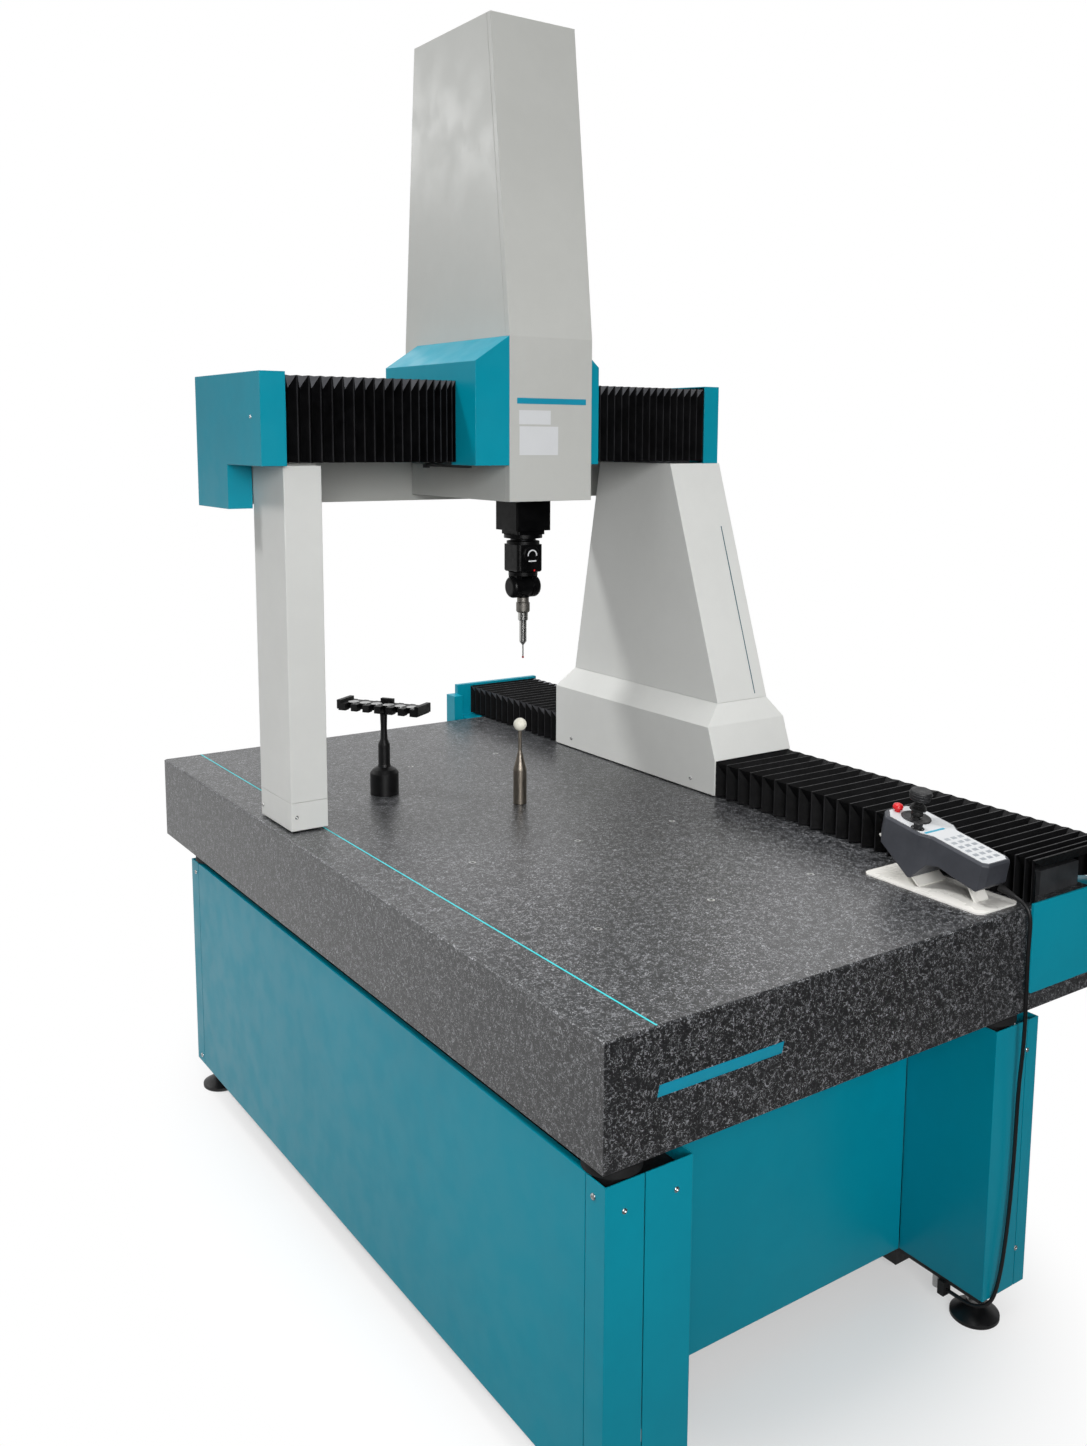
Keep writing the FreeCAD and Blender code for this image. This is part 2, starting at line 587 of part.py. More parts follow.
def left_leg_cover():
    outer = box(LEFT_X0, LEFT_X1, LEFT_Y0, LEFT_Y1, FOOT_COVER_TOP + 0.6, BRIDGE_BOTTOM)
    outer = outer.makeFillet(2.0, edges_along(outer, V(0, 0, 1)))
    inner = box(LEFT_X0 + COVER, LEFT_X1 - COVER, LEFT_Y0 + COVER, LEFT_Y1 - COVER, 0, BRIDGE_BOTTOM + 1)
    return outer.cut(inner)


def left_foot_cover():
    outer = box(LEFT_X0, LEFT_X1, LEFT_Y0, LEFT_Y1, LEFT_FLOAT, FOOT_COVER_TOP)
    outer = outer.makeFillet(2.0, edges_along(outer, V(0, 0, 1)))
    inner = box(LEFT_X0 + COVER, LEFT_X1 - COVER, LEFT_Y0 + COVER, LEFT_Y1 - COVER, 0, FOOT_COVER_TOP + 1)
    return outer.cut(inner)


def y_air_bearings():
    """Round pads under the left leg and on the top and the side of the guide rail."""
    pads = []
    x = (LEFT_X0 + LEFT_X1) / 2
    for y in (LEFT_Y0 + 52, LEFT_Y1 - 38):
        pads.append(rod(BEARING_R, (x, y, AIR_GAP), (x, y, AIR_GAP + BEARING_HEIGHT)))
    middle = (RAIL_X0 + RAIL_X1) / 2
    for y in (SKIRT_Y0 + 110, SKIRT_Y1 - 110):
        low = RAIL_HEIGHT + AIR_GAP
        pads.append(rod(BEARING_R + 14, (middle, y, low), (middle, y, low + BEARING_HEIGHT)))
        side = RAIL_X1 + AIR_GAP
        height = RAIL_HEIGHT / 2 + 4
        pads.append(rod(16, (side, y, height), (side + BEARING_HEIGHT, y, height)))
    return group(pads)


# ---------------------------------------------------------------- bridge: beam
CAP_PROFILE = [(CAP_FRONT, BRIDGE_BOTTOM), (CAP_STEP, BRIDGE_BOTTOM), (CAP_STEP, CAP_LOW),
               (CAP_BACK, CAP_LOW), (CAP_BACK, CAP_TOP), (CAP_FRONT, CAP_TOP)]


def x_beam():
    beam = box(LEFT_CAP_X0 + COVER + 8, RIGHT_CAP_X1 - COVER - 8, BEAM_Y0, BEAM_Y1, BEAM_Z0, BEAM_Z1)
    return beam.makeChamfer(3.0, edges_along(beam, V(1, 0, 0)))


def beam_end_cap_left():
    outer = along_x(CAP_PROFILE, LEFT_CAP_X0, LEFT_CAP_X1)
    return outer.cut(along_x(inward(CAP_PROFILE, COVER), LEFT_CAP_X0 + COVER, LEFT_CAP_X1 + 1))


def beam_end_cap_right():
    step = LEG_BACK_TOP + 20
    profile = [(step if y == CAP_STEP else y, z) for y, z in CAP_PROFILE]
    outer = along_x(profile, RIGHT_CAP_X0, RIGHT_CAP_X1)
    cap = outer.cut(along_x(inward(profile, COVER), RIGHT_CAP_X0 - 1, RIGHT_CAP_X1 - COVER))
    return cap.cut(box(RIGHT_CAP_X0 - 1, RIGHT_CAP_X1 - COVER, LEG_FRONT_TOP + 12, LEG_BACK_TOP,
                       BRIDGE_BOTTOM - 1, BRIDGE_BOTTOM + COVER + 1))


def beam_rear_cover():
    """Long folded sheet behind the beam, with a lip forward at the top and back at the bottom."""
    y, lip = CAP_BACK, 36.0
    z0, z1 = CAP_LOW, X_BELLOWS_Z1 + 4
    section = [(y - SHEET, z0), (y + 12, z0), (y + 12, z0 + SHEET), (y, z0 + SHEET), (y, z1),
               (y - lip, z1), (y - lip, z1 - SHEET), (y - SHEET, z1 - SHEET)]
    return along_x(section, LEFT_CAP_X1 + SOFT_GAP, RIGHT_CAP_X0 - SOFT_GAP)


def x_section(x, inset):
    """Inverted U section of the X bellows."""
    def ring(shift):
        y0, y1, top = X_BELLOWS_Y0 + shift, X_BELLOWS_Y1 - shift, X_BELLOWS_Z1 - shift
        return [(y0, X_BELLOWS_Z0), (y0, top), (y1, top), (y1, X_BELLOWS_Z0)]
    return [(x, y, z) for y, z in ring(inset) + ring(inset + BELLOWS_WALL)[::-1]]


def x_bellows(start, end, pleats, growth):
    stations = folds(start, end, pleats, growth)
    return loft([x_section(x, 0.0 if crest else X_PLEAT) for x, crest in stations])


def x_bellows_left():
    return x_bellows(SIDE_X0 - SOFT_GAP, LEFT_CAP_X1 + SOFT_GAP, X_PLEATS_LEFT, 1.28)


def x_bellows_right():
    return x_bellows(SIDE_X1 + SOFT_GAP, RIGHT_CAP_X0 - SOFT_GAP, X_PLEATS_RIGHT, 1.0)


# ---------------------------------------------------------------- carriage
TUNNEL_Y = BEAM_Y0 - 7.0                 # carriage's face in front of the beam
TUNNEL_TOP = X_BELLOWS_Z1 + 4 + BRIDGE_CLEAR
TUNNEL_BOTTOM = BRIDGE_BOTTOM - 3.0
COLUMN_PROFILE = [(COL_FRONT, SADDLE_BOTTOM), (COL_FRONT, RIDGE), (COL_FRONT_TOP, COL_TOP),
                  (COL_BACK_TOP, COL_TOP), (COL_BACK_RIDGE, RIDGE), (COL_BACK_RIDGE, TUNNEL_TOP),
                  (TUNNEL_Y, TUNNEL_TOP), (TUNNEL_Y, TUNNEL_BOTTOM), (SADDLE_BACK, TUNNEL_BOTTOM),
                  (SADDLE_BACK, SADDLE_BOTTOM)]
RAM_X = (COL_X0 + COL_X1) / 2


def ram_channel(gap, z0, z1):
    half = RAM / 2 + gap
    return box(RAM_X - half, RAM_X + half, RAM_Y - half, RAM_Y + half, z0, z1)


def column_shell():
    outer = along_x(COLUMN_PROFILE, COL_X0, COL_X1)
    shell = outer.cut(along_x(inward(COLUMN_PROFILE, COVER), COL_X0 + COVER, COL_X1 - COVER))
    shell = shell.cut(box(COL_X0 + COVER, COL_X1 - COVER, TUNNEL_Y - COVER, COL_BACK_RIDGE + 1,
                          TUNNEL_BOTTOM - COVER, TUNNEL_TOP + COVER))
    return shell.cut(ram_channel(2.0, SADDLE_BOTTOM - 1, SADDLE_BOTTOM + COVER + 1))


def front_slab(depth):
    """Slab that holds everything within a depth behind the column's front face."""
    y, far = COL_FRONT, COL_FRONT - 40
    outline = [(far, SADDLE_BOTTOM - 5), (y + depth, SADDLE_BOTTOM - 5), (y + depth, RIDGE),
               (COL_FRONT_TOP + depth, COL_TOP), (COL_FRONT_TOP + depth, COL_TOP + 5), (far, COL_TOP + 5)]
    return along_x(outline, COL_X0 - 5, COL_X1 + 5)


def column_front_cover():
    return column_shell().common(front_slab(COLUMN_SEAM))


def column_body_cover():
    return column_shell().cut(front_slab(COLUMN_SEAM + 1.0))


def carriage_block():
    """Cast carriage that wraps the beam on three sides and guides the ram."""
    x0, x1 = COL_X0 + BLOCK_INSET, COL_X1 - BLOCK_INSET
    y0, y1 = COL_FRONT + BLOCK_INSET + COLUMN_SEAM, SADDLE_BACK - BLOCK_INSET
    low, high = SADDLE_BOTTOM + BLOCK_INSET, RIDGE - BLOCK_INSET
    profile = [(y0, low), (y0, high), (y1, high), (y1, TUNNEL_TOP + 4), (TUNNEL_Y - 1, TUNNEL_TOP + 4),
               (TUNNEL_Y - 1, TUNNEL_BOTTOM - 4), (y1, TUNNEL_BOTTOM - 4), (y1, low)]
    block = along_x(profile, x0, x1)
    return block.cut(ram_channel(AIR_GAP, low - 1, high + 1))


def carriage_pads():
    """Air bearing pads between the carriage casting and the beam."""
    pads = []
    for x in (COL_X0 + 50, COL_X1 - 50):
        for y in (BEAM_Y0 + 50, BEAM_Y1 - 50):
            pads.append(rod(30, (x, y, TUNNEL_BOTTOM - 4), (x, y, BEAM_Z0 - AIR_GAP)))
            pads.append(rod(30, (x, y, BEAM_Z1 + AIR_GAP), (x, y, TUNNEL_TOP + 4)))
        for z in (BEAM_Z0 + 40, BEAM_Z1 - 40):
            pads.append(rod(26, (x, TUNNEL_Y - 1, z), (x, BEAM_Y0 - AIR_GAP, z)))
    return group(pads)


def side_cover(x_out, x_in, front, x_cut):
    """Coloured cover beside the column: sloped top, open to the column and round the beam."""
    profile = [(x_out, BRIDGE_BOTTOM), (x_out, SIDE_EDGE), (x_in, RIDGE), (x_in, BRIDGE_BOTTOM)]
    cover = along_y(profile, front, X_BELLOWS_Y1 + SEAM)
    inner = [(x_out + x_cut * COVER, BRIDGE_BOTTOM + COVER), (x_out + x_cut * COVER, SIDE_EDGE - COVER),
             (x_in + x_cut, RIDGE - COVER), (x_in + x_cut, BRIDGE_BOTTOM + COVER)]
    cover = cover.cut(along_y(inner, front + COVER, X_BELLOWS_Y1 + SEAM - COVER))
    low_x, high_x = min(x_out, x_in) - 2, max(x_out, x_in) + 2
    y0, y1 = X_BELLOWS_Y0 + X_PLEAT + 4, X_BELLOWS_Y1 - X_PLEAT - 4
    return cover.cut(box(low_x, high_x, y0, y1, BRIDGE_BOTTOM - 1, X_BELLOWS_Z1 - X_PLEAT - 2))


def carriage_side_covers():
    return group([side_cover(SIDE_X0, COL_X0 - AIR_GAP, COL_FRONT, 1),
                  side_cover(SIDE_X1, COL_X1 + AIR_GAP, RIGHT_SIDE_FRONT, -1)])


# ---------------------------------------------------------------- ram and probe head
FLANGE_BOTTOM = RAM_BOTTOM - FLANGE_HEIGHT
NECK_BOTTOM = FLANGE_BOTTOM - NECK_HEIGHT
HEAD_BOTTOM = NECK_BOTTOM - HEAD_HEIGHT
SWIVEL_TOP = HEAD_BOTTOM - AIR_GAP
SWIVEL_BOTTOM = SWIVEL_TOP - SWIVEL_HEIGHT
PITCH_Z = SWIVEL_BOTTOM - PITCH_DROP


def ram():
    half = RAM / 2
    bar = ram_channel(0.0, RAM_BOTTOM, RAM_BOTTOM + RAM_LENGTH)
    bar = bar.makeChamfer(3.0, edges_along(bar, V(0, 0, 1)))
    inner = half - RAM_WALL
    bar = bar.cut(box(RAM_X - inner, RAM_X + inner, RAM_Y - inner, RAM_Y + inner,
                      RAM_BOTTOM + 14, RAM_BOTTOM + RAM_LENGTH + 1))
    mount = FLANGE / 2
    flange = box(RAM_X - mount, RAM_X + mount, RAM_Y - mount, RAM_Y + mount, FLANGE_BOTTOM, RAM_BOTTOM)
    return bar.fuse(flange.makeFillet(5.0, edges_along(flange, V(0, 0, 1)))).removeSplitter()


def head_body():
    """Motorised indexing head: adapter plates, rounded square body and a round cover."""
    half = HEAD / 2
    plates = turned([(0, NECK_BOTTOM), (NECK_R - 6, NECK_BOTTOM), (NECK_R - 6, NECK_BOTTOM + 7),
                     (NECK_R - 14, NECK_BOTTOM + 9), (NECK_R - 14, NECK_BOTTOM + 12),
                     (NECK_R, NECK_BOTTOM + 14), (NECK_R, FLANGE_BOTTOM), (0, FLANGE_BOTTOM)], RAM_X, RAM_Y)
    body = box(RAM_X - half, RAM_X + half, RAM_Y - half, RAM_Y + half, HEAD_BOTTOM, NECK_BOTTOM)
    body = body.makeFillet(9.0, edges_along(body, V(0, 0, 1)))
    lower = [e for e in body.Edges if abs(e.BoundBox.ZMax - HEAD_BOTTOM) < 1e-6]
    body = body.makeFillet(5.0, lower)
    middle = NECK_BOTTOM - 21
    cover = rod(20, (RAM_X, RAM_Y - half - 4, middle), (RAM_X, RAM_Y - half + 2, middle))
    rim = [e for e in cover.Edges if e.BoundBox.YMax < RAM_Y - half - 3]
    return plates.fuse([body, cover.makeFillet(2.5, rim)]).removeSplitter()


def head_swivel():
    """Turning yoke with two rounded lobes that hold the pitch knuckle."""
    disc = rod(SWIVEL_R, (RAM_X, RAM_Y, SWIVEL_BOTTOM), (RAM_X, RAM_Y, SWIVEL_TOP))
    parts = []
    for side in (-1, 1):
        lobe = rod(LOBE_R, (RAM_X + side * LOBE_IN, RAM_Y, PITCH_Z), (RAM_X + side * LOBE_OUT, RAM_Y, PITCH_Z))
        rim = [e for e in lobe.Edges if abs(e.CenterOfMass.x - RAM_X) > LOBE_OUT - 1 and len(e.Vertexes) == 1]
        lobe = lobe.makeFillet(10.0, rim)
        x0, x1 = sorted((RAM_X + side * LOBE_IN, RAM_X + side * (LOBE_OUT - 9)))
        parts.append(lobe)
        parts.append(box(x0, x1, RAM_Y - 16, RAM_Y + 16, PITCH_Z, SWIVEL_BOTTOM + 1))
    return disc.fuse(parts).removeSplitter()


def head_knuckle():
    """Pitch knuckle between the lobes, with the probe's socket below."""
    half = LOBE_IN - KNUCKLE_GAP
    drum = rod(LOBE_R - 1.5, (RAM_X - half, RAM_Y, PITCH_Z), (RAM_X + half, RAM_Y, PITCH_Z))
    socket = rod(half, (RAM_X, RAM_Y, PITCH_Z - LOBE_R), (RAM_X, RAM_Y, PITCH_Z))
    return drum.fuse(socket).removeSplitter()


PROBE_TOP = PITCH_Z - LOBE_R
MODULE_TOP = PROBE_TOP - PROBE_LENGTH
HOLDER_TOP = MODULE_TOP - MODULE_LENGTH
STYLUS_TOP = HOLDER_TOP - HOLDER_LENGTH
TIP_BOTTOM = STYLUS_TOP - STYLUS_LENGTH


def probe_body():
    outline = [(0, MODULE_TOP), (PROBE_R - 2, MODULE_TOP), (PROBE_R, MODULE_TOP + 3),
               (PROBE_R, PROBE_TOP - 12), (PROBE_R - 2, PROBE_TOP - 10), (PROBE_R - 2, PROBE_TOP), (0, PROBE_TOP)]
    return turned(outline, RAM_X, RAM_Y)


def stylus():
    outline = [(0, TIP_BOTTOM + 2 * TIP_R - 0.8), (STYLUS_R, TIP_BOTTOM + 2 * TIP_R - 0.8),
               (STYLUS_R, STYLUS_TOP - 4), (HOLDER_R - 3, STYLUS_TOP), (HOLDER_R, STYLUS_TOP + 4),
               (HOLDER_R, HOLDER_TOP), (MODULE_R, HOLDER_TOP + 2), (MODULE_R, MODULE_TOP), (0, MODULE_TOP)]
    tip = Part.makeSphere(TIP_R, V(RAM_X, RAM_Y, TIP_BOTTOM + TIP_R))
    return turned(outline, RAM_X, RAM_Y).fuse(tip).removeSplitter()


# ---------------------------------------------------------------- things on the table
def sphere_stand():
    neck = SPHERE_HEIGHT - math.sqrt(SPHERE_R ** 2 - SPHERE_STEM_R ** 2)
    outline = [(0, 0), (SPHERE_BODY_R - 1, 0), (SPHERE_BODY_R, 1), (SPHERE_BODY_R, SPHERE_BODY),
               (SPHERE_STEM_R, SPHERE_CONE), (SPHERE_STEM_R, neck), (0, neck)]
    return turned(outline, SPHERE_X, SPHERE_Y)


def reference_sphere():
    ball = Part.makeSphere(SPHERE_R, V(SPHERE_X, SPHERE_Y, SPHERE_HEIGHT))
    neck = SPHERE_HEIGHT - math.sqrt(SPHERE_R ** 2 - SPHERE_STEM_R ** 2)
    return ball.cut(rod(SPHERE_STEM_R, (SPHERE_X, SPHERE_Y, 0), (SPHERE_X, SPHERE_Y, neck)))


def rack_post():
    outline = [(0, 0), (RACK_FOOT_R, 0), (RACK_FOOT_R, RACK_FOOT), (RACK_FOOT_R - 6, RACK_FOOT + 8),
               (RACK_FOOT_R - 17, RACK_FOOT + 14), (13, RACK_FOOT + 20), (13, 112), (8, 124), (7, 150),
               (8, RACK_POST - 6), (13, RACK_POST), (0, RACK_POST)]
    return turned(outline, RACK_X, RACK_Y)


def rack_tray():
    """Ported tray of the change rack: upturned ends, open bays and side ribs."""
    half, width = RACK_LENGTH / 2, RACK_WIDTH / 2
    z0, z1 = RACK_POST, RACK_POST + RACK_THICK
    tray_body = box(-half, half, -width, width, z0, z1)
    pitch = (RACK_LENGTH - 20) / RACK_BAYS
    for k in range(RACK_BAYS):
        x = -half + 10 + (k + 0.5) * pitch
        tray_body = tray_body.cut(rod(RACK_PORT_R, (x, -4, z0 - 1), (x, -4, z1 + 1)))
        tray_body = tray_body.cut(box(x - 7, x + 7, -width - 1, -4, z0 - 1, z1 + 1))
        tray_body = tray_body.cut(box(x - 9, x + 9, width - 4, width + 1, z0 + 4, z1 + 1))
    ends = [box(-half - 4, -half + 6, -width, width, z0 + 3, z1 + 7),
            box(half - 6, half + 4, -width, width, z0 + 3, z1 + 7),
            box(-18, 12, width - 10, width, z1 - 1, z1 + 9)]
    tray_body = tray_body.fuse(ends).removeSplitter()
    tray_body.rotate(V(0, 0, 0), V(0, 0, 1), RACK_TURN)
    tray_body.translate(V(RACK_X, RACK_Y, 0))
    return tray_body


# ---------------------------------------------------------------- pendant
def on_face(x, y, lift=0.0):
    """Place of a point given across and along the pendant's tilted face."""
    tilt = math.radians(PEND_TILT)
    return V(PEND_X + x, PEND_Y + y * math.cos(tilt) - lift * math.sin(tilt),
             PEND_FACE + y * math.sin(tilt) + lift * math.cos(tilt))


def set_on_face(shape):
    """Move a shape drawn flat at the origin onto the pendant's tilted face."""
    shape.rotate(V(0, 0, 0), V(1, 0, 0), PEND_TILT)
    shape.translate(V(PEND_X, PEND_Y, PEND_FACE))
    return shape


def pendant_outline(inset):
    """Half widths along the case: a wide head at +Y and a narrower grip."""
    head, grip = PEND_HEAD / 2 - inset, PEND_GRIP / 2 - inset
    top, bottom = PEND_LENGTH / 2 - inset, -PEND_LENGTH / 2 + inset
    neck = PEND_LENGTH / 2 - PEND_HEAD_LENGTH
    right = [(grip - 8, bottom), (grip, bottom + 8), (grip, neck - 10), (head, neck + 8), (head, top - 20),
             (head - 20, top)]
    return right + [(-x, y) for x, y in reversed(right)]


def relief_cone(gap):
    """Tapered strain relief that leads the cable out of the case's tail."""
    start = V(*CABLE_ROUTE[0])
    ahead = (V(*CABLE_ROUTE[1]) - start).normalize()
    return Part.makeCone(RELIEF_R + gap, CABLE_D / 2 + 0.8 + gap, RELIEF_LENGTH, start - ahead * RELIEF_LENGTH, ahead)


def pendant_case():
    """Moulded case: plan outline with a bevelled rim, cut to the side profile of head and grip."""
    body = along_z(pendant_outline(0.0), -100, -PEND_EDGE)
    rim = loft([[(x, y, -PEND_EDGE) for x, y in pendant_outline(0.0)],
                [(x, y, 0) for x, y in pendant_outline(PEND_EDGE - 1)]])
    side = [(y, -z) for y, z in PEND_UNDERSIDE] + [(PEND_LENGTH / 2 + 5, 1), (-PEND_LENGTH / 2 - 5, 1)]
    case = body.fuse(rim).removeSplitter().common(along_x(side, -PEND_HEAD, PEND_HEAD))
    case = case.cut([along_z(pendant_outline(PLATE_RIM), -PLATE_THICK, 1)] + pendant_pockets())
    return set_on_face(case).cut(relief_cone(0.2))


JOY_X, JOY_Y = 0.0, 68.0
JOY_PIVOT = -6.0              # axis of the left and right tilt, from the face
JOY_CROSS = 9.0               # axis of the fore and aft tilt, from the face
BALL_R = 10.0
BALL_GAP = 0.6
NECK_OF_BALL = 5.5
PIN_R = 2.0
PIN_GAP = 0.05
PIN_REACH = 14.0
DOME_R = 11.0
DOME_CUT = 3.0                # the dome's lower edge, below the cross axis
DISH_R = 9.5
STOP_X, STOP_Y = -12.0, 102.5
STOP_STEM_R = 5.0
STOP_TRAVEL = 4.0
KNOB_X, KNOB_Y = -33.0, 36.0


def pendant_plate():
    """Face plate with the openings for the joystick and the stop button."""
    plate = along_z(pendant_outline(PLATE_RIM + 0.4), -PLATE_THICK + 0.1, 0.4)
    plate = plate.cut(rod(DISH_R, (JOY_X, JOY_Y, -3), (JOY_X, JOY_Y, 2)))
    plate = plate.cut(rod(STOP_STEM_R + 0.4, (STOP_X, STOP_Y, -3), (STOP_X, STOP_Y, 2)))
    return set_on_face(plate)


def joy_pins(radius, reach, along_face):
    """Pin through the joystick's middle, along the case at the lower axis or across it at the upper one."""
    if along_face:
        return rod(radius, (JOY_X, JOY_Y - reach, JOY_PIVOT), (JOY_X, JOY_Y + reach, JOY_PIVOT))
    return rod(radius, (JOY_X - reach, JOY_Y, JOY_CROSS), (JOY_X + reach, JOY_Y, JOY_CROSS))


def pendant_pockets():
    """Room in the case for the gimbal's ball, its pins and the stop button's stem."""
    socket = Part.makeSphere(BALL_R + BALL_GAP, V(JOY_X, JOY_Y, JOY_PIVOT))
    pins = joy_pins(PIN_R + PIN_GAP, PIN_REACH + BALL_GAP, True)
    stem = rod(STOP_STEM_R + PIN_GAP, (STOP_X, STOP_Y, -STOP_TRAVEL - 3), (STOP_X, STOP_Y, 2))
    return [socket, pins, stem]


def joystick_gimbal():
    """Ball on two pins in the case, with a neck that carries the cross pin of the stick."""
    ball = Part.makeSphere(BALL_R, V(JOY_X, JOY_Y, JOY_PIVOT))
    neck = rod(NECK_OF_BALL, (JOY_X, JOY_Y, JOY_PIVOT), (JOY_X, JOY_Y, JOY_CROSS))
    crown = Part.makeSphere(NECK_OF_BALL, V(JOY_X, JOY_Y, JOY_CROSS))
    pins = joy_pins(PIN_R, PIN_REACH, True)
    cross = joy_pins(PIN_R, DOME_R - 1, False)
    return set_on_face(ball.fuse([neck, crown, pins, cross]).removeSplitter())


def joystick_stem():
    """Dome hung on the cross pin, with a pleated boot and the stick above it."""
    pivot = V(JOY_X, JOY_Y, JOY_CROSS)
    dome = Part.makeSphere(DOME_R, pivot)
    dome = dome.cut(box(JOY_X - 40, JOY_X + 40, JOY_Y - 40, JOY_Y + 40, JOY_CROSS - 20, JOY_CROSS - DOME_CUT))
    z = JOY_CROSS + DOME_R
    outline = [(0, z - 3), (12, z - 5), (15, z - 3), (15.5, z), (11, z + 1.5), (13.5, z + 4), (9, z + 6),
               (9, z + 8), (6, z + 9), (6, z + 12.5), (0, z + 12.5)]
    boot = turned(outline, JOY_X, JOY_Y)
    stem = dome.fuse(boot).removeSplitter()
    stem = stem.cut(Part.makeSphere(NECK_OF_BALL + BALL_GAP, pivot))
    below = Part.makeCone(NECK_OF_BALL + BALL_GAP + 2, NECK_OF_BALL, DOME_CUT + 1,
                          V(JOY_X, JOY_Y, JOY_CROSS - DOME_CUT - 1), V(0, 0, 1))
    return set_on_face(stem.cut([below, joy_pins(PIN_R + PIN_GAP, DOME_R + 5, False)]))


KNOB_FOOT = JOY_CROSS + DOME_R + 12.8


def joystick_knob():
    z = KNOB_FOOT
    outline = [(0, z), (12, z), (16, z + 3), (19, z + 10), (19.5, z + 18), (18, z + 21), (12, z + 22), (0, z + 21)]
    return set_on_face(turned(outline, JOY_X, JOY_Y))


def stop_button():
    z = STOP_TRAVEL + 1.4
    outline = [(0, -1.5), (STOP_STEM_R, -1.5), (STOP_STEM_R, z), (9, z), (9.5, z + 4), (8, z + 8), (4, z + 10),
               (0, z + 10.5)]
    return set_on_face(turned(outline, STOP_X, STOP_Y))


def speed_knob():
    outline = [(0, 0.7), (8, 0.7), (8, 10), (7, 11), (0, 11)]
    knob = turned(outline, KNOB_X, KNOB_Y)
    return set_on_face(knob.cut(box(KNOB_X - 0.8, KNOB_X + 0.8, KNOB_Y, KNOB_Y + 10, 9.6, 12)))


def tongue(low, high, half_width):
    """Bent-up strip under the case; low and high are the (y, z) ends of the face it carries."""
    run, rise = high[0] - low[0], high[1] - low[1]
    size = math.hypot(run, rise)
    ny, nz = rise / size, -run / size
    near, far = AIR_GAP, AIR_GAP + STAND_SHEET
    strip = [(low[0] + ny * near, low[1] + nz * near), (high[0] + ny * near, high[1] + nz * near),
             (high[0] + ny * far, high[1] + nz * far), (low[0] + ny * far, low[1] + nz * far)]
    return along_x(strip, PEND_X - half_width, PEND_X + half_width)


def pendant_stand():
    """Folded stand: rounded base plate with bent-up supports under the head and the tail."""
    base = box(STAND_X0, STAND_X1, STAND_Y0, STAND_Y1, 0, STAND_SHEET)
    base = base.makeFillet(14.0, edges_along(base, V(0, 0, 1)))
    belly = [on_face(0, along, -below) for along, below in PEND_UNDERSIDE[6:8]]
    slope = (belly[1].z - belly[0].z) / (belly[1].y - belly[0].y)
    low = (belly[0].y - (belly[0].z - STAND_SHEET - 2) / slope, STAND_SHEET + 2)
    rear = tongue(low, (belly[1].y, belly[1].z), PEND_GRIP / 2)
    tail = on_face(0, -72.0, -50.7)
    front = along_x([(tail.y - 22, 1), (tail.y, tail.z - AIR_GAP), (tail.y + 3, tail.z - 2), (tail.y - 18, 1)],
                    PEND_X - 18, PEND_X + 18)
    return base.fuse([rear, front]).removeSplitter()


def cable_glands():
    """Strain relief at the pendant and the gland under the base."""
    end = V(*CABLE_ROUTE[-1])
    gland = box(end.x - 10, end.x + 10, end.y, end.y + 14, end.z - 10, FRAME_BOTTOM)
    return group([relief_cone(0.0), gland])


# ---------------------------------------------------------------- pendant cable
def cable_path(route):
    """Straight runs joined by the largest tangent arcs that the runs allow."""
    points = [V(*p) for p in route]
    edges, last, length = [], points[0], 0.0
    for before, corner, after in zip(points, points[1:], points[2:]):
        to_back, to_front = before - corner, after - corner
        run = 0.45 * min(to_back.Length, to_front.Length)
        to_back.normalize()
        to_front.normalize()
        turn = math.pi - to_back.getAngle(to_front)
        radius = run / math.tan(turn / 2)
        print("bend %.0f deg, radius %.1f mm" % (math.degrees(turn), radius))
        enter, leave = corner + to_back * run, corner + to_front * run
        bisector = (to_back + to_front).normalize()
        middle = corner + bisector * (radius / math.cos(turn / 2) - radius)
        edges.append(Part.LineSegment(last, enter).toShape())
        edges.append(Part.Arc(enter, middle, leave).toShape())
        last = leave
    edges.append(Part.LineSegment(last, points[-1]).toShape())
    for edge in edges:
        length += edge.Length
    return Part.Wire(edges), length


def pendant_cable():
    path, length = cable_path(CABLE_ROUTE)
    direction = V(*CABLE_ROUTE[1]) - V(*CABLE_ROUTE[0])
    ring = Part.Wire(Part.makeCircle(CABLE_D / 2, V(*CABLE_ROUTE[0]), direction))
    tube = path.makePipeShell([ring], True, False)
    ideal = math.pi * CABLE_D ** 2 / 4 * length
    print("cable length %.1f mm, volume / ideal %.4f" % (length, tube.Volume / ideal))
    return tube


# ---------------------------------------------------------------- export
PARTS = [
    granite_table, table_inserts, track_line, frame_posts, frame_rails, damper_mounts, foot_studs, foot_discs,
    left_side_panel, left_corner_strips, front_left_post_cover, kneehole_panel, right_pillar_cover,
    right_side_panel, rear_panel, y_guide_rail, y_drive_trough, y_end_cap_front, y_end_cap_rear,
    y_bellows_front, y_bellows_rear, right_leg_skirt, right_leg_cover, right_leg_core, left_leg_core,
    left_leg_cover, left_foot_cover, y_air_bearings, x_beam, beam_end_cap_left, beam_end_cap_right,
    beam_rear_cover, x_bellows_left, x_bellows_right, column_front_cover, column_body_cover, carriage_block,
    carriage_pads, carriage_side_covers, ram, head_body, head_swivel, head_knuckle, probe_body, stylus,
    sphere_stand, reference_sphere, rack_post, rack_tray, pendant_stand, pendant_case, pendant_plate,
    joystick_gimbal, joystick_stem, joystick_knob, stop_button, speed_knob, cable_glands, pendant_cable]
ORIGIN_X = (LEFT_CAP_X0 + max(SKIRT_X1, TABLE_WIDTH + TROUGH_WIDTH)) / 2
